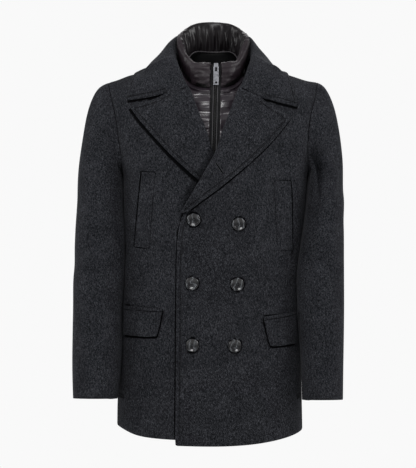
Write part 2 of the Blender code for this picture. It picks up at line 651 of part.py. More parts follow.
def new_object(name, verts, faces, finish, smooth=True):
    """A named mesh object with its finish, faces pointing out."""
    mesh = bpy.data.meshes.new(name)
    mesh.from_pydata([tuple(v) for v in verts], [], faces)
    shape = bmesh.new()
    shape.from_mesh(mesh)
    bmesh.ops.recalc_face_normals(shape, faces=shape.faces)
    shape.to_mesh(mesh)
    shape.free()
    return add_object(name, mesh, finish, smooth)


def add_object(name, mesh, finish, smooth=True):
    """Link a mesh as a named part with its finish."""
    if smooth:
        mesh.shade_smooth()
        mesh.set_sharp_from_angle(angle=math.radians(50))
    mesh.materials.clear()
    mesh.materials.append(material(finish))
    part = bpy.data.objects.new(name, mesh)
    parts_collection().objects.link(part)
    return part


def wall(name, outer, inner, finish):
    """A cloth wall between two grids of points: two faces and the rim round them."""
    rows, columns = outer.shape[:2]
    verts = [*outer.reshape(-1, 3), *inner.reshape(-1, 3)]
    shift = rows * columns

    def at(row, column):
        return row * columns + column

    faces = []
    for row in range(rows - 1):
        for column in range(columns - 1):
            quad = (at(row, column), at(row, column + 1), at(row + 1, column + 1),
                    at(row + 1, column))
            faces.append(quad)
            faces.append(tuple(shift + k for k in reversed(quad)))
    border = [at(0, c) for c in range(columns)] + [at(r, columns - 1) for r in range(1, rows)]
    border += [at(rows - 1, c) for c in reversed(range(columns - 1))]
    border += [at(r, 0) for r in reversed(range(1, rows - 1))]
    for k, here in enumerate(border):
        there = border[(k + 1) % len(border)]
        faces.append((there, here, shift + here, shift + there))
    return new_object(name, verts, faces, finish)


def trimmed(outer, inner, edges, amount=SEAM_GAP / 2):
    """Both faces of a wall with the named edges drawn in by an amount, or one for each point."""
    faces = []
    for grid in (outer.copy(), inner.copy()):
        if "first_row" in edges:
            grid[0] += amount * row_units(grid[1] - grid[0])
        if "last_row" in edges:
            grid[-1] += amount * row_units(grid[-2] - grid[-1])
        if "first_column" in edges:
            grid[:, 0] += amount * row_units(grid[:, 1] - grid[:, 0])
        if "last_column" in edges:
            grid[:, -1] += amount * row_units(grid[:, -2] - grid[:, -1])
        faces.append(grid)
    return faces


def row_units(steps):
    """Each step at length one."""
    return steps / np.maximum(np.linalg.norm(steps, axis=1, keepdims=True), 1e-9)


# ---------------------------------------------------------------- lapels and collar
FOLD_POINTS = 5
GORGE_COLUMNS = 3
LEAF_COLUMNS = 6
FOLD_START = SEAM_GAP + 0.0021      # the fold's middle line, out from the panel's edge
FOLD_HEIGHT = ROLL_RADIUS - WOOL    # and off the panel's outer face
LIE_RATE = 4.0          # how soon a leaf comes down from its fold on to the front
RIDGE_NEAR = 0.002      # closer than this to the shoulder ridge, cloth is lifted straight up
LEAF_CLEAR = LYING_GAP + LEAF_WALL + 0.0005     # the collar leaf's face off the torso


class FrontEdge:
    """A front panel's edge as built: a frame at each height to turn cloth over it."""

    def __init__(self, faces, sign):
        self.outer, self.inner = (grid[:, 0] for grid in faces)
        self.sign = sign

    def frame(self, z):
        """Point of the edge at height z, the way out to the middle and the way off the cloth."""
        heights = self.outer[:, 2]
        place = float(np.interp(z, heights, np.arange(len(heights))))

        def point(line, at):
            low = int(min(max(math.floor(at), 0), len(line) - 2))
            return line[low] + (line[low + 1] - line[low]) * (at - low)

        here = point(self.outer, place)
        normal = unit(here - point(self.inner, place))
        run = point(self.outer, place + 0.5) - point(self.outer, place - 0.5)
        away = unit(np.cross(run, normal))
        if away[0] * self.sign > 0:
            away = -away
        return here, away, normal


def turned_row(edge, z_base, path, lapped):
    """Both faces of a row of cloth that leaves the edge, turns over and lies along (x, z)."""
    base, away, normal = edge.frame(z_base)

    def at(distance, height):
        return base + away * distance + normal * height

    skin = [at(SEAM_GAP, -WOOL), at((SEAM_GAP + FOLD_START) / 2, -WOOL)]
    back = [at(SEAM_GAP, LEAF_WALL - WOOL), at((SEAM_GAP + FOLD_START) / 2, LEAF_WALL - WOOL)]
    for radius, face in ((ROLL_RADIUS, skin), (ROLL_RADIUS - LEAF_WALL, back)):
        for turn in np.linspace(0, math.pi, FOLD_POINTS):
            face.append(at(FOLD_START + radius * math.sin(turn),
                           FOLD_HEIGHT - radius * math.cos(turn)))
    top, low = FOLD_HEIGHT + ROLL_RADIUS, LYING_GAP + LEAF_WALL
    for column, (x, z) in enumerate(path, start=1):
        height = low + (top - low) * math.exp(-LIE_RATE * column / len(path))
        skin.append(front_point(x, z, height, lapped))
        back.append(front_point(x, z, height - LEAF_WALL, lapped))
    return skin, back


def gorge_path(edge, z_base, notch, beyond):
    """Columns (x, z) from the edge along the gorge to the notch, then out to the point."""
    base = edge.frame(z_base)[0][[0, 2]]
    shift = np.array((0.0, z_base - NECKLINE_Z))
    gorge = along([base, np.array(notch) + shift], np.linspace(0, 1, GORGE_COLUMNS + 1)[1:])
    rest = along([gorge[-1], *beyond], np.linspace(0, 1, LEAF_COLUMNS - GORGE_COLUMNS + 1)[1:])
    return np.array([*gorge, *rest])


def lapel(name, edge, lapped, notch, top, outer, end_z):
    """A lapel: rows from the gorge down to where it stops turning."""
    start_z = NECKLINE_Z - GORGE_HALF_GAP
    own = [z for z in edge.outer[:, 2] if end_z + 0.004 < z < start_z - 0.004]
    heights = [start_z, *sorted(own, reverse=True), end_z]
    gorge = gorge_path(edge, start_z, notch, top)
    spread = np.linspace(0, 1, LEAF_COLUMNS + 1)[1:]
    bend = gorge - (gorge[0] + (gorge[-1] - gorge[0]) * ((spread - spread[0])
                                                         / (1 - spread[0]))[:, None])
    faces = [], []
    for z in heights:
        share = (start_z - z) / (start_z - end_z)
        first = edge.frame(z)[0][[0, 2]]
        last = along(outer, [share])[0]
        path = first + (last - first) * spread[:, None] + bend * (1 - share) ** 3
        if z == start_z:
            path = gorge
        for face, row in zip(faces, turned_row(edge, z, path, lapped)):
            face.append(row)
    wall(name, np.array(faces[0]), np.array(faces[1]), "wool")


def neckline(grids, face):
    """The neckline's points from the centre back to the roll, for one face of the panels."""
    last, edge = grids["back"][face][-1], grids["front"][face][:, 0]
    middle = len(last) // 2
    neck = last[middle:] if grids["sign"] > 0 else last[middle::-1]
    return np.array([*neck[:len(BACK_NECK)], *edge[:LOW_ROWS + EDGE_HEIGHTS.index(NECKLINE_Z) - 1:-1]])


def over_torso(point, clearance):
    """The point, lifted off the torso surface if it lies nearer than the clearance."""
    x, y, z = point
    top = ridge(x - torso("centre_x", z))
    if z > top - RIDGE_NEAR:
        gap = z - top
        return point + np.array((0, 0, max(clearance - gap, 0.0)))
    side = "front" if y < SHOULDER_Y else "back"
    normal = torso_normal(x, z, side)
    if (normal[1] < 0) != (side == "front"):
        normal = -normal
    gap = float(np.dot(point - torso_point(x, z, side), normal))
    return point + normal * max(clearance - gap, 0.0)


def halved(points):
    """The points with one more in the middle of each step."""
    middles = (points[1:] + points[:-1]) / 2
    mixed = np.empty((len(points) + len(middles), 3))
    mixed[0::2], mixed[1::2] = points, middles
    return mixed


def collar_half(sign, table, grids, edge, notch, leaf_end):
    """Both faces of the collar from the centre back to the notch, a row for each section."""
    read = reader(mirrored(table), COLLAR_COLUMNS)
    outer, inner = halved(neckline(grids, 0)), halved(neckline(grids, 1))
    steps = np.linalg.norm(np.diff(inner, axis=0), axis=1)
    shares = np.concatenate([[0.0], np.cumsum(steps)]) / steps.sum()

    def placed(kind, share):
        x, y, z = (read(kind + "_" + axis, share) for axis in "xyz")
        return np.array((NECK_X + sign * x, y, z))

    faces = [], []
    for share, foot_out, foot_in in list(zip(shares, outer, inner))[:-1]:
        roll, rim = placed("roll", share), placed("edge", share)
        if rim[1] < COLLAR_LIES_Y:
            rim = front_point(rim[0], rim[2], LYING_GAP + LEAF_WALL)
        run = unit(placed("roll", min(share + 0.02, 1)) - placed("roll", max(share - 0.02, 0)))
        if share < 0.02:
            run = np.array((float(sign), 0.0, 0.0))
        toward = roll - (foot_in + rim) / 2
        crest = unit(toward - run * np.dot(toward, run))
        outward = np.cross(run, crest)
        if np.dot(outward, roll - np.array((NECK_X, 0.02, roll[2]))) < 0:
            outward = -outward
        middle = roll - crest * ROLL_RADIUS
        for face, foot, radius in ((faces[0], foot_in, ROLL_RADIUS),
                                   (faces[1], foot_out, ROLL_RADIUS - LEAF_WALL)):
            start = middle - outward * radius
            foot = foot + unit(start - foot) * BENT_SEAM
            row = [foot, (foot + start) / 2]
            for turn in np.linspace(0, math.pi, FOLD_POINTS):
                row.append(middle + radius * (math.sin(turn) * crest - math.cos(turn) * outward))
            for part in np.linspace(0, 1, LEAF_COLUMNS + 1)[1:]:
                skin_end = middle + ROLL_RADIUS * outward
                point = skin_end * (1 - part) + rim * part
                fall = unit(rim - skin_end)
                off = unit(outward - fall * np.dot(outward, fall))
                point = point + COLLAR_BULGE * math.sin(math.pi * part) * off
                point = over_torso(point, LEAF_CLEAR)
                row.append(point if face is faces[0] else point - off * LEAF_WALL)
            face.append(row)
    start_z = NECKLINE_Z + GORGE_HALF_GAP
    last = turned_row(edge, start_z, gorge_path(edge, start_z, notch, leaf_end), False)
    for face, row in zip(faces, last):
        face.append(row)
    return [np.array(face) for face in faces]


# ---------------------------------------------------------------- neck insert
def zip_x(z):
    """The zip's middle line at height z."""
    return ZIP_X + ZIP_SLANT * z


def ring_point(level, sign, share):
    """Point of the insert's collar seam (low) or rim (top)."""
    x, y, z = (insert_ring(level + "_" + axis, share) for axis in "xyz")
    return np.array((INSERT_X + sign * x, y, z))


def zip_share(sign):
    """The share of the ring at which the collar meets the zip tape on one side."""
    low, high = 0.8, 1.0
    for _ in range(40):
        share = (low + high) / 2
        point = ring_point("low", sign, share)
        if sign * (point[0] - zip_x(point[2])) > TAPE_HALF + SEAM_GAP:
            low = share
        else:
            high = share
    return low


def ring_frame(sign, share):
    """Seam point, rim point, way up and way outward of the insert's collar at one place."""
    low, top = ring_point("low", sign, share), ring_point("top", sign, share)
    ahead = ring_point("low", sign, min(share + 0.01, 1)) - ring_point(
        "low", sign, max(share - 0.01, 0))
    run = unit(ahead * sign if share > 0.01 else (1.0, 0.0, 0.0))
    up = unit(top - low)
    outward = unit(np.cross(run, up))
    if np.dot(outward, low - np.array((INSERT_X, -0.01, low[2]))) < 0:
        outward = -outward
    return low, top, up, outward


def front_places(sign):
    """Shares of the ring at the quilted front's columns, from the zip to the shoulder."""
    return np.linspace(zip_share(sign), INSERT_SHOULDER, QUILT_COLUMNS)


def insert_collar():
    """The padded stand collar: a rounded section carried round the neck from tape to tape."""
    behind = np.linspace(INSERT_SHOULDER, -INSERT_SHOULDER, GATHERS * GATHER_STEPS + 1)
    places = [*front_places(1), *behind[1:-1], *(-front_places(-1)[::-1])]
    loops = []
    for place in places:
        low, top, up, outward = ring_frame(1 if place >= 0 else -1, abs(place))
        gathered = max(0.0, 1.0 - (place / INSERT_SHOULDER) ** 4)
        wave = GATHER_DEPTH * gathered * math.cos(math.pi * GATHERS * place / INSERT_SHOULDER)
        height = np.linalg.norm(top - low)
        loop = [low + up * level * height + outward * half for level, half in PAD_PROFILE]
        loop.append(low + up * height)
        for level, half in reversed(PAD_PROFILE):
            pinch = wave * math.sin(math.pi * min(level + 0.15, 1.0))
            loop.append(low + up * level * height - outward * (half + pinch))
        loops.append(loop)
    return loft_loops("insert_collar", np.array(loops), "nylon")


def loft_loops(name, loops, finish):
    """A solid carried through closed loops of points, with a cap at each end."""
    count, around = loops.shape[:2]
    verts = loops.reshape(-1, 3)
    faces = []
    for row in range(count - 1):
        for k in range(around):
            there = (k + 1) % around
            faces.append((row * around + k, row * around + there,
                          (row + 1) * around + there, (row + 1) * around + k))
    faces.append(tuple(range(around)))
    faces.append(tuple((count - 1) * around + k for k in reversed(range(around))))
    return new_object(name, verts, faces, finish)


def insert_surface(x, z, inset):
    """Point inside the front of the torso surface."""
    return torso_point(x, z, "front") + np.array((0.0, inset, 0.0))


def quilt_rows():
    """Row shares of a quilted front, and how far along its baffle each row is."""
    top, low = QUILT_SEAMS[0], QUILT_SEAMS[-1]
    shares, phases = [0.0], [0.0]
    for upper, lower in zip(QUILT_SEAMS, QUILT_SEAMS[1:]):
        steps = 2 if upper - lower < 0.020 else 4
        for step in range(1, steps + 1):
            z = upper + (lower - upper) * step / steps
            shares.append((top - z) / (top - low))
            phases.append(step / steps if step < steps else 0.0)
    return shares, phases


def insert_front(sign, name):
    """A quilted front of the insert, from the zip tape out under the coat's front."""
    edge = left_edge if sign > 0 else right_edge
    low_x = zip_x(INSERT_LOW_Z) + sign * (TAPE_HALF + SEAM_GAP)
    outer, inner = [], []
    for share, phase in zip(*quilt_rows()):
        row_out, row_in = [], []
        for k, place in enumerate(front_places(sign)):
            low, _, up, outward = ring_frame(sign, place)
            start = low - up * INSERT_SEAM
            x_end = low_x + (sign * INSERT_HALF - low_x) * k / (QUILT_COLUMNS - 1)
            z = start[2] + (INSERT_LOW_Z - start[2]) * share
            x = start[0] + (x_end - start[0]) * share
            if k == 0:
                x = zip_x(z) + sign * (TAPE_HALF + SEAM_GAP)
            base = insert_surface(x, z, INSERT_INSET)
            step = start[1] - insert_surface(start[0], start[2], INSERT_INSET)[1]
            base[1] += step * (1 - share) ** 4
            shown = min(max(sign * (edge("x", min(z, -0.01)) - x) / QUILT_FADE, 0.0), 1.0)
            puff = QUILT_FLAT + (QUILT_PUFF - QUILT_FLAT) * shown
            puff *= math.sin(math.pi * phase) ** 0.6
            lean = unit((QUILT_LEAN[0] * (x - INSERT_X), *QUILT_LEAN[1:]))
            lean = unit(lean + (outward - lean) * (1 - share) ** 6)
            row_out.append(base + lean * puff)
            row_in.append(base - lean * INSERT_WALL)
        outer.append(row_out)
        inner.append(row_in)
    return wall(name, np.array(outer), np.array(inner), "nylon")


def insert_back():
    """The plain back of the insert, hanging inside the back of the neck."""
    reach = INSERT_SHOULDER - 0.01
    outer, inner = [], []
    for share in np.linspace(0, 1, 4):
        row_out, row_in = [], []
        for place in np.linspace(reach, -reach, INSERT_BACK_COLUMNS):
            low, _, up, outward = ring_frame(1 if place >= 0 else -1, abs(place))
            start = low - up * INSERT_SEAM
            x, z = start[0], start[2] + (INSERT_BACK_LOW_Z - start[2]) * share
            target = torso_point(x, min(z, -0.010), "back")[1] - INSERT_INSET
            y = start[1] + (min(target, INSERT_BACK_DEEP) - start[1]) * share
            lean = unit(((x - INSERT_X) * INSERT_BACK_TURN, 1.0, 0.0))
            lean = unit(outward * (1 - share) + lean * share)
            here = np.array((x, y, z))
            row_out.append(here)
            row_in.append(here - lean * INSERT_WALL)
        outer.append(row_out)
        inner.append(row_in)
    return wall("insert_back", np.array(outer), np.array(inner), "nylon")


def zip_depth(z):
    """Front to back, where the zip tapes' outer face lies at height z."""
    ends = [[ring_point(level, sign, zip_share(sign)) for sign in (1, -1)]
            for level in ("low", "top")]
    low, top = (np.mean(pair, axis=0) for pair in ends)
    if z >= low[2]:
        return low[1] + (top[1] - low[1]) * (z - low[2]) / (top[2] - low[2]) - TAPE_SHOWS
    part = (low[2] - z) / (low[2] - INSERT_LOW_Z)
    gap = low[1] - insert_surface(low[0], low[2], INSERT_INSET)[1]
    surface = insert_surface(zip_x(z), z, INSERT_INSET)[1]
    return surface + gap * (1 - part) ** 4 - TAPE_SHOWS * (1 - part) ** 8


def zip_tape(sign, name):
    """One zip tape, from the top of the collar down between the quilted fronts."""
    seam = ring_point("low", 1, 1.0)[2]
    top = ring_point("top", 1, 1.0)[2] - 0.003
    outer = []
    for z in [*np.linspace(top, seam, 5), *np.linspace(seam, INSERT_LOW_Z, 9)[1:]]:
        outer.append([(zip_x(z) + sign * across, zip_depth(z), z)
                      for across in (TAPE_HALF, TAPE_NEAR)])
    outer = np.array(outer)
    return wall(name, outer, outer + np.array((0.0, TAPE_WALL, 0.0)), "tape")


# ---------------------------------------------------------------- pieces that lie on the fronts
def lying_piece(name, corners, thick, lapped, rows, columns, round_corner=0.0, raise_by=0.0):
    """A flat cloth piece on a front: its outer face, thickened towards the coat by Solidify."""
    top_in, top_out, low_out, low_in = (np.array(c) for c in corners)
    grid = []
    for row in np.linspace(0, 1, rows):
        line = []
        for column in np.linspace(0, 1, columns):
            spot = (top_in * (1 - column) + top_out * column) * (1 - row) + (
                low_in * (1 - column) + low_out * column) * row
            x, z = spot
            corner = max(row - (1 - round_corner), 0) / round_corner if round_corner else 0.0
            near = max(round_corner - column, 0) / round_corner if round_corner else 0.0
            if corner > 0 and near > 0:
                pull = corner ** 2 * near ** 2
                x += (top_out[0] - top_in[0]) * CORNER_IN * pull
                z += abs(top_in[1] - low_in[1]) * CORNER_UP * pull
            line.append(front_point(x, z, LYING_GAP + thick + raise_by, lapped))
        grid.append(line)
    grid = np.array(grid)
    faces = []
    for row in range(rows - 1):
        for column in range(columns - 1):
            k = row * columns + column
            faces.append((k, k + 1, k + columns + 1, k + columns))
    mesh = bpy.data.meshes.new(name)
    mesh.from_pydata([tuple(p) for p in grid.reshape(-1, 3)], [], faces)
    part = add_object(name, mesh, "wool", smooth=False)
    mesh.update()
    faces_front = mesh.polygons[0].normal.y < 0
    solid = part.modifiers.new("Thickness", "SOLIDIFY")
    solid.thickness = thick
    solid.offset = -1.0 if faces_front else 1.0
    solid.use_even_offset = True
    return part


def jet_corners(flap):
    """Corners of the narrow jet above a pocket flap."""
    top_in, top_out = np.array(flap[0]), np.array(flap[1])
    lift = np.array((0.0, JET_HEIGHT))
    gap = np.array((0.0, JET_GAP))
    return (top_in + lift + gap, top_out + lift + gap, top_out + gap, top_in + gap)


# ---------------------------------------------------------------- buttons, slider and pull tab
BUTTON_PROFILE = (      # (radius share, height share), from the back's middle round to the face
    (0.00, 0.00),
    (0.80, 0.00),
    (0.97, 0.30),
    (1.00, 0.62),
    (0.93, 0.95),
    (0.80, 1.00),
    (0.66, 0.66),
    (0.00, 0.60),
)
BUTTON_STEPS = 18


def button(name, x, z):
    """A turned button with a raised rim and a dished face, just off the left front."""
    mesh = bpy.data.meshes.new(name)
    profile = [(r * BUTTON_RADIUS, h * BUTTON_THICK) for r, h in BUTTON_PROFILE]
    line = [(k, k + 1) for k in range(len(profile) - 1)]
    mesh.from_pydata([(r, 0.0, h) for r, h in reversed(profile)], line, [])
    part = add_object(name, mesh, "horn", smooth=False)
    screw = part.modifiers.new("Turned", "SCREW")
    screw.steps = screw.render_steps = BUTTON_STEPS
    screw.use_merge_vertices = True
    screw.merge_threshold = 0.00005
    screw.use_smooth_shade = True
    here = front_point(x, z, 0.0, True)
    step = 0.010
    across = front_point(x + step, z, 0.0, True) - front_point(x - step, z, 0.0, True)
    up = front_point(x, z + step, 0.0, True) - front_point(x, z - step, 0.0, True)
    normal = unit(np.cross(across, up))
    place = here + normal * BUTTON_STAND
    facing = Vector(normal).to_track_quat("Z", "Y")
    part.matrix_world = Matrix.Translation(Vector(place)) @ facing.to_matrix().to_4x4()
    return part


def box(name, size, origin, offset=(0.0, 0.0, 0.0)):
    """A box of the zip's metal, made from a primitive, placed at its origin."""
    mesh = bpy.data.meshes.new(name)
    shape = bmesh.new()
    bmesh.ops.create_cube(shape, size=1.0)
    bmesh.ops.scale(shape, vec=Vector(size), verts=shape.verts)
    bmesh.ops.translate(shape, vec=Vector(offset), verts=shape.verts)
    shape.to_mesh(mesh)
    shape.free()
    part = add_object(name, mesh, "zip_metal", smooth=False)
    part.location = Vector(origin)
    return part


def slider_ring():
    """The small ring on the slider, its hole along X, for the pull tab's bar."""
    bpy.ops.mesh.primitive_torus_add(major_segments=14, minor_segments=6,
                                     major_radius=RING_MAJOR, minor_radius=RING_MINOR,
                                     location=tab_axis(), rotation=(0.0, math.pi / 2, 0.0))
    ring = bpy.context.object
    ring.name = ring.data.name = "slider_ring"
    ring.data.materials.append(material("zip_metal"))
    return ring


def cut(part, tool, operation):
    """Apply a Boolean of a tool to a part and put the tool away."""
    boolean = part.modifiers.new(operation.title(), "BOOLEAN")
    boolean.operation = operation
    boolean.object = tool
    tool.hide_render = True
    tool.display_type = "WIRE"
    for holder in tool.users_collection:
        holder.objects.unlink(tool)
    cutters_collection().objects.link(tool)


def slider_centre():
    """Middle of the zip's slider, just in front of the tapes."""
    z = SLIDER_TOP_Z - SLIDER_SIZE[2] / 2
    return np.array((zip_x(z), zip_depth(z) - SLIDER_STAND - SLIDER_SIZE[1] / 2, z))


def tab_axis():
    """The pull tab's hinge point: the middle of its bar, in the slider's ring."""
    front = slider_centre()[1] - SLIDER_SIZE[1] / 2
    return np.array((zip_x(TAB_AXIS_Z), front - RING_MAJOR, TAB_AXIS_Z))


def slider():
    """The zip's slider with the ring that holds the pull tab."""
    part = box("zip_slider", SLIDER_SIZE, slider_centre())
    cut(part, slider_ring(), "UNION")
    return part


def pull_tab():
    """The long flat pull tab: a plate with a window at its bar and a round eye near its end."""
    axis = tab_axis()
    plate = box("zip_pull_tab", (TAB_WIDTH, TAB_THICK, TAB_LENGTH), axis,
                (0.0, 0.0, TAB_BAR - TAB_LENGTH / 2))
    bevel = plate.modifiers.new("Rounded", "BEVEL")
    bevel.width = TAB_BEVEL
    bevel.segments = 1
    window = box("tab_window", TAB_WINDOW, axis, (0.0, 0.0, -TAB_BAR - TAB_WINDOW[2] / 2))
    cut(plate, window, "DIFFERENCE")
    mesh = bpy.data.meshes.new("tab_eye")
    shape = bmesh.new()
    bmesh.ops.create_cone(shape, cap_ends=True, segments=16, radius1=TAB_EYE, radius2=TAB_EYE,
                          depth=TAB_THICK * 3)
    bmesh.ops.rotate(shape, cent=(0, 0, 0), matrix=Matrix.Rotation(math.pi / 2, 3, "X"),
                     verts=shape.verts)
    shape.to_mesh(mesh)
    shape.free()
    eye = add_object("tab_eye", mesh, "zip_metal")
    eye.location = Vector(axis) + Vector((0.0, 0.0, TAB_BAR - TAB_LENGTH + TAB_EYE_UP))
    cut(plate, eye, "DIFFERENCE")
    return plate


# ---------------------------------------------------------------- scene bookkeeping
def material(finish):
    """The finish's material, made once."""
    if finish in bpy.data.materials:
        return bpy.data.materials[finish]
    colour, roughness, metallic = FINISHES[finish]
    made = bpy.data.materials.new(finish)
    made.use_nodes = True
    shader = made.node_tree.nodes["Principled BSDF"]
    shader.inputs["Base Color"].default_value = (*colour, 1.0)
    shader.inputs["Roughness"].default_value = roughness
    shader.inputs["Metallic"].default_value = metallic
    return made


def collection(name):
    """A collection of the scene, made once."""
    if name not in bpy.data.collections:
        bpy.context.scene.collection.children.link(bpy.data.collections.new(name))
    return bpy.data.collections[name]


def parts_collection():
    """Where the coat's pieces are."""
    return collection("pea_coat")


def cutters_collection():
    """Where the cutting and joining shapes are."""
    return collection("cutters")


# ---------------------------------------------------------------- the coat
def body_grids():
    """Outer and inner faces of fronts, back and sleeves, alike in direction at each seam."""
    fronts = {"left": front_panel(1, left_edge, True), "right": front_panel(-1, right_edge, False)}
    back = back_panel()
    rings = {"left": armhole_ring(fronts["left"], back, 1),
             "right": armhole_ring(fronts["right"], back, -1)}
    sleeves = {
        "left": sleeve_grid(rings["left"], 1, LEFT_SLEEVE, LEFT_FOLDS, LEFT_CAP_PULL),
        "right": sleeve_grid(rings["right"], -1, RIGHT_SLEEVE, RIGHT_FOLDS, RIGHT_CAP_PULL),
    }
    patches = {
        "front_left": (fronts["left"], False),
        "front_right": (fronts["right"], False),
        "back": (back, False),
        "sleeve_left": (sleeves["left"], True),
        "sleeve_right": (sleeves["right"], True),
    }
    normals, meeting = {}, {}
    for name, (grid, closed) in patches.items():
        if closed:
            core = grid.mean(axis=1, keepdims=True)
        else:
            core = np.zeros_like(grid)
            core[..., 1] = SHOULDER_Y
            core[..., 2] = np.minimum(grid[..., 2], PIT_Z / 2)
        normals[name] = grid_normals(grid, closed, core)
        for spot, normal in zip(grid.reshape(-1, 3), normals[name].reshape(-1, 3)):
            key = tuple(np.round(spot, 5))
            meeting[key] = meeting.get(key, 0.0) + normal
    walls = {}
    for name, (grid, _) in patches.items():
        shared = [unit(meeting[tuple(np.round(spot, 5))]) for spot in grid.reshape(-1, 3)]
        walls[name] = (grid, grid - np.array(shared).reshape(grid.shape) * WOOL)
    return walls


def sleeve_pieces(walls, side):
    """The top and under sleeve, cut from the whole sleeve along its two seams."""
    outer, inner = walls["sleeve_" + side]
    around = outer.shape[1]
    top = list(range(UNDER_FRONT, around - UNDER_BACK + 1))
    under = list(range(around - UNDER_BACK, around)) + list(range(UNDER_FRONT + 1))
    for piece, columns, head in (("top", top, SEAM_GAP / 2), ("under", under, BENT_SEAM / 2)):
        faces = trimmed(outer[:, columns], inner[:, columns], ("first_row",), head)
        faces = trimmed(*faces, ("first_column", "last_column"), BENT_SEAM / 2)
        wall(f"sleeve_{side}_{piece}", *faces, "wool")


def build():
    """Make every piece of the coat."""
    for item in list(bpy.data.objects):
        bpy.data.objects.remove(item, do_unlink=True)
    walls = body_grids()
    side = np.full((LOW_ROWS + HIGH_ROWS + 1, 1), SEAM_GAP / 2)
    side[LOW_ROWS:] = BENT_SEAM / 2
    side[LOW_ROWS:LOW_ROWS + UNDERARM_ROWS] = BENT_SEAM
    for name, edges, amount in (("front_left", ("last_column",), side),
                                ("front_right", ("last_column",), side),
                                ("back", ("first_column", "last_column"),
                                 np.concatenate([side, side[-1:]]))):
        faces = trimmed(*walls[name], ("last_row",))
        wall(name, *trimmed(*faces, edges, amount), "wool")
    for side in ("left", "right"):
        sleeve_pieces(walls, side)

    left, right = FrontEdge(walls["front_left"], 1), FrontEdge(walls["front_right"], -1)
    lapel("lapel_left", left, True, LEFT_NOTCH, LEFT_LAPEL_TOP, LEFT_LAPEL_EDGE, BREAK_Z)
    lapel("lapel_right", right, False, RIGHT_NOTCH, RIGHT_LAPEL_TOP, RIGHT_LAPEL_EDGE,
          RIGHT_LAPEL_END_Z)
    halves = []
    for side, sign, table, edge, notch, leaf_end in (
            ("left", 1, LEFT_COLLAR, left, LEFT_NOTCH, LEFT_LEAF_END),
            ("right", -1, RIGHT_COLLAR, right, RIGHT_NOTCH, RIGHT_LEAF_END)):
        grids = {"back": walls["back"], "front": walls["front_" + side], "sign": sign}
        halves.append(collar_half(sign, table, grids, edge, notch, leaf_end))
    wall("collar", *(np.concatenate([one[::-1], other[1:]]) for one, other in zip(*halves)), "wool")

    insert_collar()
    insert_front(1, "insert_front_left")
    insert_front(-1, "insert_front_right")
    insert_back()
    zip_tape(1, "zip_tape_left")
    zip_tape(-1, "zip_tape_right")
    slider()
    pull_tab()

    for side, lapped, welt, flap in (("left", True, LEFT_CHEST_WELT, LEFT_FLAP),
                                     ("right", False, RIGHT_CHEST_WELT, RIGHT_FLAP)):
        lying_piece("chest_welt_" + side, welt, WELT_WALL, lapped, 8, 3)
        lying_piece("pocket_flap_" + side, flap, FLAP_WALL, lapped, 5, 7, 0.3)
        lying_piece("pocket_jet_" + side, jet_corners(flap), WELT_WALL, lapped, 2, 7)
    for number, (x, z) in enumerate(BUTTON_PLACES, start=1):
        button(f"button_{number}", x, z)


build()
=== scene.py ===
# %% [markdown]
# # A short double-breasted wool coat, dressed in Blender
#
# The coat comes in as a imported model: thirty plain solids, one for every piece that a tailor
# cuts or sews on. This lesson leaves those solids where they are and makes each visible piece
# again, finer: heavy wool with its seams and rows of stitches, a glossy quilted neck piece, a
# zip with real teeth and polished buttons. Each cell makes one thing and says what it made.

# %% Load the frame
import math

import bmesh
import bpy
import numpy as np
from mathutils import Matrix, Vector, noise
from mathutils.bvhtree import BVHTree
from mathutils.kdtree import KDTree


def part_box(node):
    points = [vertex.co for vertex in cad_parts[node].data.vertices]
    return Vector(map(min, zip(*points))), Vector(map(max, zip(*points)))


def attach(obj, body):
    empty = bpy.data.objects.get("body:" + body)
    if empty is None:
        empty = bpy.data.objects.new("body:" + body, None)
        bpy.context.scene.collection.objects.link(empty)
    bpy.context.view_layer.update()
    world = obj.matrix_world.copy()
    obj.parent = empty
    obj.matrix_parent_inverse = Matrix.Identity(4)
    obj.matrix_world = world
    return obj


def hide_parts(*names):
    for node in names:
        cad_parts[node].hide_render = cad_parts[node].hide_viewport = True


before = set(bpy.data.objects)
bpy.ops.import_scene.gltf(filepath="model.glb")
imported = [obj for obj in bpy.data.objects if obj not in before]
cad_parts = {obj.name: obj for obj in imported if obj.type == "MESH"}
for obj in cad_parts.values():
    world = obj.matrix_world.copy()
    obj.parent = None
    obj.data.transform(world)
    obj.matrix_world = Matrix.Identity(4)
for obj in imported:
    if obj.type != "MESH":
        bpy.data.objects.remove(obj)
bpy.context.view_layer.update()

# %% [markdown]
# ## The camera and the light
# The camera stands level with the middle of the coat and looks straight at the front. A long
# lens from well back keeps the shoulders and the hem in their true proportion.

# %% Camera
scene = bpy.context.scene
scene.view_settings.view_transform = "Standard"

camera_data = bpy.data.cameras.new("camera")
camera_data.lens = 84.25
camera_data.sensor_width = 36.0
camera_data.clip_end = 50.0
camera = bpy.data.objects.new("camera", camera_data)
camera.location = (-0.00315, -2.3, -0.359)
camera.rotation_euler = (math.radians(90), 0, 0)
scene.collection.objects.link(camera)
scene.camera = camera
print("camera at", [round(c, 3) for c in camera.location])

# %% [markdown]
# A coat is best judged in flat, even light, as in a shop: one broad soft light high in front,
# a weaker one from each side to draw the edges of the sleeves, one from behind, and a pale
# room all round.

# %% Lights


def soft_light(name, place, target, size, power):
    data = bpy.data.lights.new(name, "AREA")
    data.shape = "SQUARE"
    data.size = size
    data.energy = power
    light = bpy.data.objects.new(name, data)
    light.location = place
    light.rotation_euler = (Vector(target) - Vector(place)).to_track_quat("-Z", "Y").to_euler()
    scene.collection.objects.link(light)


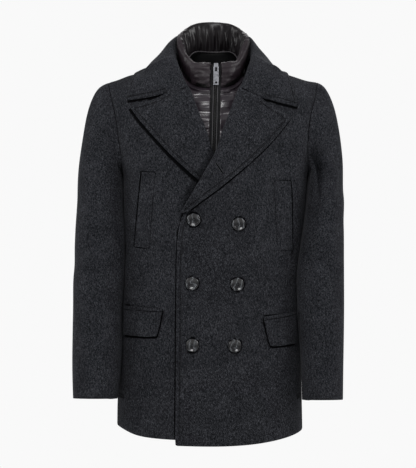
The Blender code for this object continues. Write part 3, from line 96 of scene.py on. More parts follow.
MIDDLE = (0.0, 0.0, -0.35)
soft_light("front light", (-0.3, -2.4, 1.7), MIDDLE, 1.3, 62)
soft_light("left light", (-2.3, -0.5, 0.9), MIDDLE, 1.2, 22)
soft_light("right light", (2.3, -0.5, 1.0), MIDDLE, 1.2, 34)
soft_light("back light", (0.2, 2.4, 1.7), MIDDLE, 1.6, 40)
print("4 lights")

# %% [markdown]
# The room is white paper. The render shows it at full brightness, but only part of that light
# falls on the coat, or its creases would have no shade. The room's background and the floor
# both ask what kind of ray looks at them, and answer brighter to the camera's own rays.

# %% Room and floor
PAPER = (0.9473, 0.9473, 0.9473, 1)
ROOM_LIGHT = 0.42

world = bpy.data.worlds.new("room")
world.use_nodes = True
room_nodes, room_links = world.node_tree.nodes, world.node_tree.links
room = room_nodes["Background"]
room.inputs["Color"].default_value = PAPER
ray = room_nodes.new("ShaderNodeLightPath")
brightness = room_nodes.new("ShaderNodeMapRange")
brightness.inputs["To Min"].default_value = ROOM_LIGHT
brightness.inputs["To Max"].default_value = 1.0
room_links.new(ray.outputs["Is Camera Ray"], brightness.inputs["Value"])
room_links.new(brightness.outputs["Result"], room.inputs["Strength"])
scene.world = world

FLOOR_Z = -1.02
floor_paper = bpy.data.materials.new("pale floor")
floor_paper.use_nodes = True
nodes, links = floor_paper.node_tree.nodes, floor_paper.node_tree.links
pale = nodes["Principled BSDF"]
pale.inputs["Base Color"].default_value = (0.80, 0.80, 0.80, 1)
pale.inputs["Roughness"].default_value = 0.9
seen = nodes.new("ShaderNodeEmission")
seen.inputs["Color"].default_value = PAPER
ray = nodes.new("ShaderNodeLightPath")
choose = nodes.new("ShaderNodeMixShader")
links.new(ray.outputs["Is Camera Ray"], choose.inputs["Fac"])
links.new(pale.outputs["BSDF"], choose.inputs[1])
links.new(seen.outputs["Emission"], choose.inputs[2])
links.new(choose.outputs["Shader"], nodes["Material Output"].inputs["Surface"])

bpy.ops.mesh.primitive_circle_add(vertices=96, radius=6.0, fill_type="NGON",
                                  location=(0, 0, FLOOR_Z))
floor = bpy.context.object
floor.name = "floor"
floor.data.materials.append(floor_paper)
print("floor at", FLOOR_Z)

# %% [markdown]
# ## Wool
# The cloth is a thick felted wool, woven in a fine slanting twill from charcoal yarn with pale
# hairs in it. From a step away it reads as one dark grey with a lively grain. Noises of
# different sizes make it: single hairs, little clumps of them, the slanting ribs of the weave,
# and slow patches from steaming and brushing. A weak sheen gives the raised nap its dusty edge.

# %% Small node helpers
def new_material(name):
    material = bpy.data.materials.new(name)
    material.use_nodes = True
    tree = material.node_tree
    return material, tree.nodes, tree.links, tree.nodes["Principled BSDF"]


def ramp_node(nodes, stops):
    ramp = nodes.new("ShaderNodeValToRGB")
    while len(ramp.color_ramp.elements) < len(stops):
        ramp.color_ramp.elements.new(0.5)
    for element, (place, value) in zip(ramp.color_ramp.elements, stops):
        element.position = place
        colour = value if hasattr(value, "__len__") else (value, value, value)
        element.color = (*colour, 1)
    return ramp


def noise_node(nodes, links, point, scale, detail=2.0, rough=0.5):
    texture = nodes.new("ShaderNodeTexNoise")
    texture.inputs["Scale"].default_value = scale
    texture.inputs["Detail"].default_value = detail
    texture.inputs["Roughness"].default_value = rough
    links.new(point, texture.inputs["Vector"])
    return texture.outputs["Fac"]


def math_node(nodes, links, kind, *values):
    node = nodes.new("ShaderNodeMath")
    node.operation = kind
    for socket, value in zip(node.inputs, values):
        if hasattr(value, "is_linked"):
            links.new(value, socket)
        else:
            socket.default_value = value
    return node.outputs[0]


def weighted_sum(nodes, links, parts, offset):
    total = offset
    for part, weight in parts:
        total = math_node(nodes, links, "MULTIPLY_ADD", part, weight, total)
    return total


# %% [markdown]
# A row of stitches pulls thick wool down into a narrow furrow. The pieces that are stitched
# carry, at every point, a number called "stitch_row": one metre plus the distance from the row.
# The wool's material reads it, presses the furrow into the cloth and darkens it a little with
# painted shade. Where a piece has no such number it reads as nought, a metre away, so nothing is
# pressed. A second number, "edge_near", is 1 or more right beside the edge of a piece that lies
# on the cloth, or at a seam, and falls to 0 away from it: there the wool dips in, and painted
# shade darkens its colour. The painted shade begins where that number passes EDGE_START and is
# whole from EDGE_FULL on. How dark it then gets is a third number, "edge_depth".

# %% Wool
FURROW_HALF = 0.0024
EDGE_START = 0.50
EDGE_FULL = 0.86


def stitch_furrow(nodes, links):
    row = nodes.new("ShaderNodeAttribute")
    row.attribute_name = "stitch_row"
    away = math_node(nodes, links, "SUBTRACT", row.outputs["Fac"], 1.0)
    away = math_node(nodes, links, "ABSOLUTE", away)
    near = nodes.new("ShaderNodeMapRange")
    near.interpolation_type = "SMOOTHSTEP"
    near.inputs["From Max"].default_value = FURROW_HALF
    near.inputs["To Min"].default_value = 1.0
    near.inputs["To Max"].default_value = 0.0
    links.new(away, near.inputs["Value"])
    return near.outputs["Result"]


def edge_shade(nodes, links, start=EDGE_START, full=EDGE_FULL):
    """The depth of the painted shade beside an edge, falling to 0 a few millimetres away."""
    near = nodes.new("ShaderNodeAttribute")
    near.attribute_name = "edge_near"
    fall = nodes.new("ShaderNodeMapRange")
    fall.interpolation_type = "SMOOTHSTEP"
    fall.inputs["From Min"].default_value = start
    fall.inputs["From Max"].default_value = full
    links.new(near.outputs["Fac"], fall.inputs["Value"])
    depth = nodes.new("ShaderNodeAttribute")
    depth.attribute_name = "edge_depth"
    return math_node(nodes, links, "MULTIPLY", fall.outputs["Result"], depth.outputs["Fac"])


def wool(name, dark, mid, pale):
    material, nodes, links, shader = new_material(name)
    point = nodes.new("ShaderNodeTexCoord").outputs["Object"]
    stretch = nodes.new("ShaderNodeMapping")
    stretch.inputs["Scale"].default_value = (1, 1, 0.55)
    links.new(point, stretch.inputs["Vector"])
    hairs = noise_node(nodes, links, point, 700, 3, 0.7)
    clumps = noise_node(nodes, links, stretch.outputs["Vector"], 420, 2, 0.6)
    patches = noise_node(nodes, links, point, 24, 3, 0.55)
    turn = nodes.new("ShaderNodeMapping")
    turn.inputs["Rotation"].default_value = (0, 0.62, 0)
    links.new(point, turn.inputs["Vector"])
    ribs = nodes.new("ShaderNodeTexWave")
    ribs.inputs["Scale"].default_value = 135
    ribs.inputs["Distortion"].default_value = 6
    ribs.inputs["Detail"].default_value = 2
    ribs.inputs["Detail Scale"].default_value = 2.2
    links.new(turn.outputs["Vector"], ribs.inputs["Vector"])
    grain = weighted_sum(nodes, links, [(hairs, 0.75), (clumps, 0.55), (ribs.outputs["Fac"], 0.10),
                                        (patches, 0.14)], -0.27)
    furrow = stitch_furrow(nodes, links)
    edge = edge_shade(nodes, links)
    # Painted shade: the stitch furrow and the fold beside another piece's edge darken the grain
    shade = weighted_sum(nodes, links, [(furrow, -0.10), (edge, -0.46)], grain)
    ramp = ramp_node(nodes, [(0.28, dark), (0.50, mid), (0.72, pale)])
    links.new(shade, ramp.inputs["Fac"])
    links.new(ramp.outputs["Color"], shader.inputs["Base Color"])
    shader.inputs["Roughness"].default_value = 0.95
    shader.inputs["Specular IOR Level"].default_value = 0.04
    shader.inputs["Sheen Weight"].default_value = 0.035
    shader.inputs["Sheen Roughness"].default_value = 0.40
    shader.inputs["Sheen Tint"].default_value = (0.80, 0.83, 0.92, 1)
    nap = nodes.new("ShaderNodeBump")
    nap.inputs["Strength"].default_value = 0.8
    nap.inputs["Distance"].default_value = 0.0009
    links.new(grain, nap.inputs["Height"])
    pressed = nodes.new("ShaderNodeBump")
    pressed.invert = True
    pressed.inputs["Strength"].default_value = 1.0
    pressed.inputs["Distance"].default_value = 0.0016
    dips = weighted_sum(nodes, links, [(furrow, 1.0), (edge, 1.0)], 0.0)
    links.new(dips, pressed.inputs["Height"])
    links.new(nap.outputs["Normal"], pressed.inputs["Normal"])
    links.new(pressed.outputs["Normal"], shader.inputs["Normal"])
    return material


# The dark colour is reached where the grain is darkest, and in the painted shade beside edges and in
# furrows
body_wool = wool("charcoal wool", (0.0011, 0.0012, 0.0015), (0.0118, 0.0124, 0.0146),
                 (0.056, 0.058, 0.066))
print("made", body_wool.name)

# %% [markdown]
# ## Lining, nylon, tape, thread
# Inside, such a coat is lined with a smooth dark satin. The neck piece is thin nylon, blown out
# by its wadding, so it is nearly black with long pale highlights. The zip's tape is a matt
# close-woven ribbon, and the sewing thread is polyester, a little glossier than the wool. One
# recipe serves them all: a fine noise for the weave and a slow one for handling, both mixed
# between a low and a high colour. Beside other pieces' edges each goes nearly black: painted shade.

# %% Lining, nylon, tape and thread
# Painted shade beside and under other pieces' edges: where it begins and is whole, and its near-black
# colour
SHADE_BESIDE_EDGES = (0.90, 1.15)
PAINTED_SHADE_BLACK = (0.0015, 0.0015, 0.0015, 1)


def smooth_cloth(name, low, high, roughness, weave, bump_mm, gloss, coat=0.0):
    material, nodes, links, shader = new_material(name)
    point = nodes.new("ShaderNodeTexCoord").outputs["Object"]
    fine = noise_node(nodes, links, point, weave, 3, 0.6)
    slow = noise_node(nodes, links, point, 35, 2, 0.5)
    mixed = weighted_sum(nodes, links, [(fine, 0.5), (slow, 0.5)], 0.0)
    ramp = ramp_node(nodes, [(0.35, low), (0.65, high)])
    links.new(mixed, ramp.inputs["Fac"])
    # Painted shade: the colour goes near black beside and under the edges of other pieces
    shaded = nodes.new("ShaderNodeMix")
    shaded.data_type = "RGBA"
    shaded.inputs["B"].default_value = PAINTED_SHADE_BLACK
    links.new(edge_shade(nodes, links, *SHADE_BESIDE_EDGES), shaded.inputs["Factor"])
    links.new(ramp.outputs["Color"], shaded.inputs["A"])
    links.new(shaded.outputs["Result"], shader.inputs["Base Color"])
    worn = ramp_node(nodes, [(0.35, roughness * 0.85), (0.65, roughness * 1.15)])
    links.new(slow, worn.inputs["Fac"])
    links.new(worn.outputs["Color"], shader.inputs["Roughness"])
    shader.inputs["Specular IOR Level"].default_value = gloss
    shader.inputs["Coat Weight"].default_value = coat
    shader.inputs["Coat Roughness"].default_value = 0.22
    bump = nodes.new("ShaderNodeBump")
    bump.inputs["Strength"].default_value = 0.6
    bump.inputs["Distance"].default_value = bump_mm / 1000
    links.new(fine, bump.inputs["Height"])
    links.new(bump.outputs["Normal"], shader.inputs["Normal"])
    return material


lining_satin = smooth_cloth("dark satin lining", (0.006, 0.006, 0.007), (0.011, 0.011, 0.013),
                            roughness=0.5, weave=260, bump_mm=0.15, gloss=0.3)
puff_nylon = smooth_cloth("padded nylon", (0.0090, 0.0062, 0.0080), (0.0155, 0.0108, 0.0140),
                          roughness=0.44, weave=90, bump_mm=0.35, gloss=0.22)
# The collar's inside: a darker copy of the padded nylon, which is painted shade, a little smoother
shaded_inside_nylon = smooth_cloth("inside nylon in painted shade", (0.0040, 0.0032, 0.0038), (0.0080, 0.0064, 0.0076),
                            roughness=0.33, weave=90, bump_mm=0.25, gloss=0.20)
neck_satin = smooth_cloth("neck lining", (0.0020, 0.0021, 0.0024), (0.0042, 0.0044, 0.0048),
                          roughness=0.5, weave=260, bump_mm=0.1, gloss=0.12)
quilt_nylon = smooth_cloth("quilted nylon", (0.0120, 0.0088, 0.0120), (0.0210, 0.0160, 0.0215),
                           roughness=0.31, weave=90, bump_mm=0.30, gloss=0.52, coat=0.08)
tape_weave = smooth_cloth("woven zip tape", (0.004, 0.004, 0.0045), (0.011, 0.011, 0.012),
                          roughness=0.85, weave=700, bump_mm=0.25, gloss=0.15)
slit_shade = smooth_cloth("shade in a slit", (0.0006, 0.0006, 0.0007), (0.0012, 0.0012, 0.0014),
                          roughness=0.95, weave=300, bump_mm=0.1, gloss=0.02)
tape_cord = smooth_cloth("tape cord", (0.050, 0.050, 0.053), (0.095, 0.095, 0.100),
                         roughness=0.6, weave=900, bump_mm=0.2, gloss=0.3)
bound_edge = smooth_cloth("bound edge", (0.030, 0.026, 0.030), (0.060, 0.054, 0.060),
                          roughness=0.35, weave=300, bump_mm=0.1, gloss=0.5)
thread = smooth_cloth("sewing thread", (0.008, 0.0085, 0.010), (0.020, 0.021, 0.024),
                      roughness=0.6, weave=1500, bump_mm=0.05, gloss=0.3)
print("made", [m.name for m in (lining_satin, puff_nylon, shaded_inside_nylon, neck_satin, quilt_nylon)])
print("and", [m.name for m in (tape_weave, slit_shade, tape_cord, bound_edge, thread)])

# %% [markdown]
# ## From a solid to cloth
# Each solid is coarse: flat faces a centimetre across. To make cloth of it, its mesh is copied,
# welded, paired back into four-sided faces and smoothed by subdivision. Subdivision pulls a
# mesh inward, so the coarse points are first pushed out until the smooth surface passes
# through where they were. Sharp rims keep a crease, softened to the round of folded cloth, and
# the points on them carry the mark "rim", which later steps use to find the edges again.

# %% Welding and smoothing
RIM_ANGLE = math.radians(55)
RIM_CREASE = 0.72
PUSH_ROUNDS = 4
PUSH_MOST = 0.006


def quad_shape(node):
    """A node's mesh, welded and joined into four-sided faces."""
    shape = bmesh.new()
    shape.from_mesh(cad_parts[node].data)
    bmesh.ops.remove_doubles(shape, verts=shape.verts, dist=1e-6)
    bmesh.ops.join_triangles(shape, faces=shape.faces, angle_face_threshold=0.7,
                             angle_shape_threshold=2.6)
    shape.normal_update()
    return shape


def points_of(mesh):
    flat = np.empty(len(mesh.vertices) * 3)
    mesh.vertices.foreach_get("co", flat)
    return flat.reshape(-1, 3)


def set_points(mesh, points):
    mesh.vertices.foreach_set("co", np.asarray(points, float).ravel())
    mesh.update()


def normals_of(mesh):
    flat = np.empty(len(mesh.vertices) * 3)
    mesh.vertex_normals.foreach_get("vector", flat)
    return flat.reshape(-1, 3)


def tree_of(piece):
    """A search tree of a piece's faces, for the nearest or the first point hit."""
    faces = [tuple(p.vertices) for p in piece.data.polygons]
    return BVHTree.FromPolygons(points_of(piece.data).tolist(), faces)


def subdivided(mesh, levels):
    piece = bpy.data.objects.new("working copy", mesh)
    scene.collection.objects.link(piece)
    subdivide = piece.modifiers.new("smooth", "SUBSURF")
    subdivide.levels = subdivide.render_levels = levels
    graph = bpy.context.evaluated_depsgraph_get()
    fine = bpy.data.meshes.new_from_object(piece.evaluated_get(graph))
    bpy.data.objects.remove(piece)
    return fine


def smoothed(mesh, levels):
    """The subdivided mesh whose surface passes through the coarse mesh's own points."""
    wanted = points_of(mesh)
    for _ in range(PUSH_ROUNDS):
        trial = subdivided(mesh, 1)
        away = points_of(mesh) - points_of(trial)[:len(wanted)]
        bpy.data.meshes.remove(trial)
        far = np.linalg.norm(away, axis=1, keepdims=True)
        set_points(mesh, wanted + away * np.minimum(1.0, PUSH_MOST / np.maximum(far, 1e-9)))
    return subdivided(mesh, levels)


def cloth_from(node, title, material, levels):
    """The fine cloth shell that stands for a node, named by its title."""
    name = title.replace(" ", "_")
    shape = quad_shape(node)
    creased = shape.edges.layers.float.new("crease_edge")
    rim = shape.verts.layers.float.new("rim")
    for edge in shape.edges:
        if edge.calc_face_angle(0.0) > RIM_ANGLE:
            edge[creased] = RIM_CREASE
            for vert in edge.verts:
                vert[rim] = 1.0
    coarse = bpy.data.meshes.new(name)
    shape.to_mesh(coarse)
    shape.free()
    fine = smoothed(coarse, levels)
    fine.name = name
    fine.shade_smooth()
    fine.materials.clear()
    fine.materials.append(material)
    piece = bpy.data.objects.new(name, fine)
    scene.collection.objects.link(piece)
    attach(piece, "coat")
    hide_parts(node)
    return piece


# %% [markdown]
# ## The coat's cut pieces
# Fronts, back, sleeves, lapels and collar are each one solid, and each becomes one cloth shell.
# Pieces with fine edges are smoothed three times, the large calm ones twice.

# %% Wool pieces
WOOL_PIECES = {  # what the piece is called, how many times it is smoothed
    "front_left": ("left front", 3), "front_right": ("right front", 3), "back": ("coat back", 2),
    "sleeve_left_top": ("left top sleeve", 3), "sleeve_left_under": ("left under sleeve", 2),
    "sleeve_right_top": ("right top sleeve", 3), "sleeve_right_under": ("right under sleeve", 2),
    "lapel_left": ("left lapel", 3), "lapel_right": ("right lapel", 3), "collar": ("fall collar", 2),
    "chest_welt_left": ("left chest welt", 3), "chest_welt_right": ("right chest welt", 3),
    "pocket_jet_left": ("left pocket jet", 3), "pocket_jet_right": ("right pocket jet", 3),
    "pocket_flap_left": ("left pocket flap", 3), "pocket_flap_right": ("right pocket flap", 3),
}
cloth = {}
for node, (title, levels) in WOOL_PIECES.items():
    cloth[node] = cloth_from(node, title, body_wool, levels)
print("wool pieces:", {n: len(cloth[n].data.polygons) for n in WOOL_PIECES})

# %% [markdown]
# The neck piece is thin nylon over wadding. It is glossy where it is quilted and softer round
# the collar. The zip's two tapes are flat woven ribbons, and need little smoothing.

# %% Nylon pieces and zip tapes
NYLON_PIECES = {
    "insert_collar": ("padded collar", 3), "insert_front_left": ("left quilted front", 3),
    "insert_front_right": ("right quilted front", 3), "insert_back": ("neck piece back", 2),
}
for node, (title, levels) in NYLON_PIECES.items():
    finish = quilt_nylon if "front" in node else puff_nylon
    cloth[node] = cloth_from(node, title, finish, levels)
for side in ("left", "right"):
    cloth[f"zip_tape_{side}"] = cloth_from(f"zip_tape_{side}", f"{side} zip tape", tape_weave, 2)
print("nylon pieces:", {n: len(cloth[n].data.polygons) for n in NYLON_PIECES})

# %% [markdown]
# ## Settling on the shoulders
# Worn or hung, heavy wool gives a little: the shoulder's padding pushes the sleeve head up and
# square, the sleeve sinks below it, the collar leans out, and the cuffs ride up. Each row
# below is one such give, at a place seen from the front, with its reach and its move. All
# layers at that place move together, so none of them cuts through another. Below the armhole
# the sleeve and the side also draw together, by a few millimetres from each side.

# %% Gives of the cloth
GIVES = [  # x, z, reach across, reach down, move x, move z, in millimetres
    (-220, -56, 24, 24, -3.0, 5.5), (-256, -150, 48, 48, 6.0, 0.0), (-78, 44, 20, 20, -4.5, 5.5),
    (78, 46, 15, 15, 4.0, 3.0), (131, -6, 22, 22, -3.0, -3.0), (-166, -34, 20, 20, 0.0, 5.0),
    (-140, -18, 12, 12, 2.0, -3.0), (230, -54, 15, 15, 0.0, 6.0), (260, -128, 55, 55, -3.0, 0.0),
    (0, 78, 26, 26, 0.0, 2.5), (-183, -228, 28, 34, 7.0, 0.0), (-180, -480, 24, 90, -3.5, 0.0),
    (196, -265, 28, 70, 9.5, 0.0), (190, -560, 26, 90, 3.5, 0.0), (8, -75, 34, 14, 0.0, 5.0),
]
NECK_GIVES = [(8, 35, 22, 22, 0.0, -3.5), (-35, 18, 16, 22, 0.0, 8.0), (51, 18, 16, 22, 0.0, 8.0)]
BODY_GIVES = [(-192, -764, 25, 25, 1.0, 9.0)]
SIDE_TOUCH = {"left": 4.4, "right": 2.8}  # millimetres
CUFF_LIFT = {"left": 0.0032, "right": 0.0058}
# Pairs for ramp(): where a move begins, and where it is whole
TOUCH_TOP, TOUCH_LOW = (-0.235, -0.275), (-0.50, -0.44)
SLEEVE_TOUCHING, BODY_TOUCHING = (0.232, 0.197), (0.135, 0.170)
CUFF_RISE = (-0.58, -0.69)
NECK_BACK = (-0.01, 0.02)


def given(points, gives):
    moved = np.zeros_like(points)
    for x, z, across, down, move_x, move_z in gives:
        away = np.hypot((points[:, 0] * 1000 - x) / across, (points[:, 2] * 1000 - z) / down)
        share = np.exp(-0.5 * away ** 2)
        moved[:, 0] += share * move_x / 1000
        moved[:, 2] += share * move_z / 1000
    return moved


def ramp(values, start, end):
    return np.clip((values - start) / (end - start), 0, 1)


# %% [markdown]
# Soft folds come from how the coat hangs: the sleeve breaks at the elbow and below the armhole,
# and the body drags a little from the armpits and across the shoulder blades. Each fold is a
# trough with a fuller ridge on one side of it, laid along a line seen from the front or
# from the back. The trough wanders a little from its line, as no fold in cloth is straight.

# %% Folds of the wool
# x, z of both ends, half width, depth, all in millimetres
FRONT_FOLDS = [
    (247, -172, 204, -325, 16, -7.5), (262, -300, 214, -372, 12, -3.2),
    (258, -470, 208, -505, 14, -2.4), (-232, -350, -182, -452, 12, -5.0),
    (-262, -236, -214, -300, 13, -2.8), (-266, -500, -205, -545, 15, -2.6),
    (-250, -120, -222, -215, 12, -2.4), (-178, -268, -138, -330, 11, -2.2),
    (172, -260, 140, -318, 11, -2.0), (-176, -430, -120, -470, 16, -1.8),
    (178, -440, 128, -486, 16, -1.8), (150, -650, 120, -760, 20, -2.0),
    (-150, -660, -118, -760, 20, -1.8),
]
BACK_FOLDS = [
    (255, -330, 200, -410, 13, -5.0), (260, -200, 215, -268, 14, -3.0),
    (262, -520, 205, -560, 15, -2.4), (-255, -345, -200, -418, 13, -5.0),
    (-262, -214, -216, -280, 14, -3.0), (-262, -505, -205, -548, 15, -2.6),
    (160, -190, 96, -300, 16, -3.4), (-156, -180, -88, -286, 16, -3.0),
    (60, -330, -40, -372, 18, -2.4), (-110, -470, 10, -520, 18, -2.2),
    (80, -560, 30, -760, 22, -3.0), (-70, -540, -46, -760, 22, -3.2),
]
FADE_SHARE, END_DEPTH = 0.3, 0.25  # how a trough runs out at its ends
WANDER, WANDER_LONG = 0.35, 2.6
RIDGE_OFF, RIDGE_HIGH = 2.2, 0.45


def fold_depth(x, z, folds):
    """The sum of soft troughs along folds, at places given in millimetres."""
    total = np.zeros_like(x)
    for x1, z1, x2, z2, half, depth in folds:
        length = math.hypot(x2 - x1, z2 - z1)
        along = ((x - x1) * (x2 - x1) + (z - z1) * (z2 - z1)) / length
        beside = ((x - x1) * (z2 - z1) - (z - z1) * (x2 - x1)) / length
        ends = np.minimum(along, length - along) / (length * FADE_SHARE) + END_DEPTH
        ends = np.clip(ends, 0, 1)
        bend = beside + WANDER * half * np.sin(along / (WANDER_LONG * half) + x1)
        trough = np.exp(-0.5 * (bend / half) ** 2)
        ridge = np.exp(-0.5 * ((bend - RIDGE_OFF * half) / half) ** 2)
        total += depth * ends * ends * (3 - 2 * ends) * (trough - RIDGE_HIGH * ridge)
    return total


# %% [markdown]
# Every point of a piece then moves at once by all that applies to it: the gives, the drawing
# together of sleeve and side, the lift of the cuffs, and the folds. A sleeve's middle line
# comes forward on its way down, so what counts as its front goes with it. Folds keep off the
# shoulders, off the line of the side and, on the fronts, off the double-breasted middle.

# %% Settling every piece
SLEEVE_SWEEP = 0.10
SLEEVE_BEND_Z = -0.15
OFF_THE_SIDE = (0.0, 0.03)
OFF_THE_MIDDLE = (0.075, 0.105)
OFF_THE_SHOULDER = (-0.06, -0.12)


def settled(node, points):
    """Where a piece's points come to lie once the coat has settled."""
    moves = given(points, GIVES)
    x, z = points[:, 0], points[:, 2]
    side, out = np.sign(x), np.abs(x)
    sleeve = node.startswith("sleeve")
    if node.startswith(("front", "back")):
        moves += given(points, BODY_GIVES)
    if sleeve or node.startswith(("front", "back")):
        low = ramp(z, *TOUCH_TOP) * ramp(z, *TOUCH_LOW)
        share = -ramp(out, *SLEEVE_TOUCHING) if sleeve else ramp(out, *BODY_TOUCHING)
        touch = np.where(x > 0, SIDE_TOUCH["left"], SIDE_TOUCH["right"])
        moves[:, 0] += side * share * low * touch / 1000
    if node.startswith("insert"):
        moves += given(points, NECK_GIVES) * ramp(points[:, 1], *NECK_BACK)[:, None]
    if sleeve:
        moves[:, 2] += CUFF_LIFT["left" if "left" in node else "right"] * ramp(z, *CUFF_RISE)
    if not node.startswith(("insert", "zip")):
        middle = -SLEEVE_SWEEP * np.clip(SLEEVE_BEND_Z - z, 0, 1) if sleeve else 0.0
        ahead = ramp(middle - points[:, 1], *OFF_THE_SIDE)
        behind = ramp(points[:, 1] - middle, *OFF_THE_SIDE)
        clear = 1.0 if sleeve else ramp(out, *OFF_THE_MIDDLE) * ahead + behind
        in_front = ahead * fold_depth(x * 1000, z * 1000, FRONT_FOLDS)
        at_back = behind * fold_depth(x * 1000, z * 1000, BACK_FOLDS)
        moves[:, 1] -= (in_front - at_back) * clear * ramp(z, *OFF_THE_SHOULDER) / 1000
    return points + moves


for node, piece in cloth.items():
    set_points(piece.data, settled(node, points_of(piece.data)))
print("folds laid:", len(FRONT_FOLDS), "in front,", len(BACK_FOLDS), "behind")

# %% [markdown]
# A chest welt is pressed flat with the iron, hardest along its inner edge, where it is sewn
# down. Each of its points keeps only a share of its height over the front beneath it. Its inner
# edge leans outward on its way down.

# %% Pressing the welts
WELT_KEPT_INNER, WELT_KEPT_OUTER = 0.35, 0.75
WELT_PRESSED = 0.012
WELT_TOP_Z = -0.30
WELT_LEAN = 0.13


def pressed_down(node, front):
    """Lets a welt lie closer to the cloth under it, closest along its inner edge."""
    tree = tree_of(cloth[front])
    points = points_of(cloth[node].data)
    inner = np.abs(points[:, 0]).min()
    for k, point in enumerate(points):
        found, normal, _, _ = tree.find_nearest(Vector(point))
        normal = normal if normal.y < 0 else -normal
        high = (Vector(point) - found).dot(normal)
        edge = inner + WELT_LEAN * max(0.0, WELT_TOP_Z - point[2])
        share = np.clip((abs(point[0]) - edge) / WELT_PRESSED, 0, 1)
        kept = WELT_KEPT_INNER + (WELT_KEPT_OUTER - WELT_KEPT_INNER) * share
        points[k] -= np.array(normal) * high * (1 - kept)
    set_points(cloth[node].data, points)


for side in ("left", "right"):
    pressed_down(f"chest_welt_{side}", f"front_{side}")
print("welts pressed: 2")

# %% [markdown]
# ## Closing the seams
# The solids stand a hair apart where the real pieces are sewn together. Each rim that faces
# another piece's rim is pulled half way to it, and the other piece does the same, so that they
# meet in the middle. The rounded rims leave the fine valley that a pressed seam has.

# %% Seams
SEAM_REACH = 0.0019
ON_RIM = 0.97
SEAMS = [("front_left", "back"), ("front_right", "back"), ("lapel_left", "collar"),
         ("lapel_right", "collar"), ("front_left", "collar"), ("front_right", "collar"), ("back", "collar"),
         ("front_left", "lapel_left"), ("front_right", "lapel_right"), ("insert_collar", "insert_back"),
         ("insert_collar", "insert_front_left"), ("insert_collar", "insert_front_right"),
         ("insert_back", "insert_front_left"), ("insert_back", "insert_front_right"),
         ("insert_front_left", "zip_tape_left"), ("insert_front_right", "zip_tape_right"),
         ("insert_collar", "zip_tape_left"), ("insert_collar", "zip_tape_right")]
for side in ("left", "right"):
    for part in ("top", "under"):
        SEAMS.append((f"front_{side}", f"sleeve_{side}_{part}"))
        SEAMS.append(("back", f"sleeve_{side}_{part}"))
    SEAMS.append((f"sleeve_{side}_top", f"sleeve_{side}_under"))


def rim_of(mesh):
    """(the points on a mesh's rim, a search tree of its rim faces)"""
    mark = np.empty(len(mesh.vertices))
    mesh.attributes["rim"].data.foreach_get("value", mark)
    faces = [tuple(p.vertices) for p in mesh.polygons if all(mark[v] > ON_RIM for v in p.vertices)]
    return np.nonzero(mark > ON_RIM)[0], BVHTree.FromPolygons(points_of(mesh).tolist(), faces)


rims = {node: rim_of(piece.data) for node, piece in cloth.items()}
pulls = {node: {} for node in cloth}
for pair in SEAMS:
    for here, there in (pair, pair[::-1]):
        points = cloth[here].data.vertices
        for index in rims[here][0]:
            found, _, _, gap = rims[there][1].find_nearest(points[index].co, SEAM_REACH)
            if found is not None and gap < pulls[here].get(index, (None, 1.0))[1]:
                pulls[here][index] = ((found - points[index].co) * 0.5, gap)
for node, moves in pulls.items():
    for index, (move, _) in moves.items():
        cloth[node].data.vertices[index].co += move
print("seam points moved:", sum(len(m) for m in pulls.values()))

# %% [markdown]
# ## Shade beside the edges
# Thick cloth standing on cloth throws a narrow shade, and it is what makes lapels, flaps and
# seams readable on dark wool. Every piece's edge is sampled with the direction into that
# piece. A point of another piece then knows how far outside or under the nearest edge it lies.
# Edges that lie behind the point, hidden by its own cloth, don't count. An edge is named by the
# side of its piece that it is on: low, top or outer, and any for the rest.

# %% Edge shade
EDGE_REACH = 0.009
SEARCH_REACH = EDGE_REACH * 1.5
NEAREST = 1.6
BEHIND = -0.0009
SAMPLE_STEP = 0.002
# How far up, down or across the way into a piece points, at an edge that is named for it
OUTER_WAY, TOP_WAY, LOW_WAY = 0.5, 0.5, 0.72
# Between these x the collar's low edge is the quiet gorge seam beside the left lapel
GORGE_FROM, GORGE_TO = 0.02, 0.098
# Below and left of this place the left lapel's edge runs into the front's own
TIP_LOW, TIP_RIGHT = -0.3035, -0.036
# For each edge of a piece: how dark its shade is, how wide as a share of EDGE_REACH, and how
# many millimetres out it holds before it falls
PLAIN_EDGE = (0.55, 0.45, 0.0)
EDGE_LINES = {
    "lapel_right": {"top": (0.42, 0.60, 0.0), "any": (1.0, 1.70, 2.0)},
    "lapel_left": {"top": (0.36, 0.60, 0.0), "any": (0.86, 0.85, 0.2)},
    "collar": {"low": (1.0, 1.40, 0.8), "gorge": (0.12, 0.6, 0.0), "any": (0.50, 0.80, 0.4)},
    "front_left": {"outer": PLAIN_EDGE, "top": (0.30, 0.45, 0.0), "any": (1.0, 0.95, 0.6)},
    "pocket_flap": {"low": (1.0, 1.05, 0.9), "top": (0.62, 0.45, 0.0), "any": (0.80, 0.75, 0.5)},
    "pocket_jet": {"any": (0.62, 0.40, 0.0)},
    "chest_welt_right": {"outer": (0.95, 0.42, 4.6), "top": (0.60, 0.40, 1.0), "low": (0.35, 0.4, 0.0),
                         "any": (0.0, 0.5, 0.0)},
    "chest_welt_left": {"outer": (0.48, 0.40, 4.4), "top": (0.40, 0.40, 1.0), "any": (0.0, 0.5, 0.0)},
    "insert": {"any": (1.0, 0.8, 0.0)}, "zip": {"any": (1.0, 0.5, 0.0)},
}
QUIET_PAIRS = [{"lapel_left", "collar"}, {"lapel_right", "collar"},
               {"sleeve_left_top", "sleeve_left_under"}, {"sleeve_right_top", "sleeve_right_under"}]


def edge_line(node, place, into):
    """The shade of one edge, which is named by the way from it into its own piece."""
    side = 1 if "left" in node else -1 if "right" in node else np.sign(place[0])
    kind = "outer" if into[0] * side < -OUTER_WAY else "any"
    kind = "low" if into[2] > LOW_WAY else "top" if into[2] < -TOP_WAY else kind
    if node == "collar" and kind == "low" and GORGE_FROM < place[0] < GORGE_TO:
        kind = "gorge"
    for name, lines in EDGE_LINES.items():
        if node.startswith(name):
            return lines.get(kind, lines["any"])
    return PLAIN_EDGE


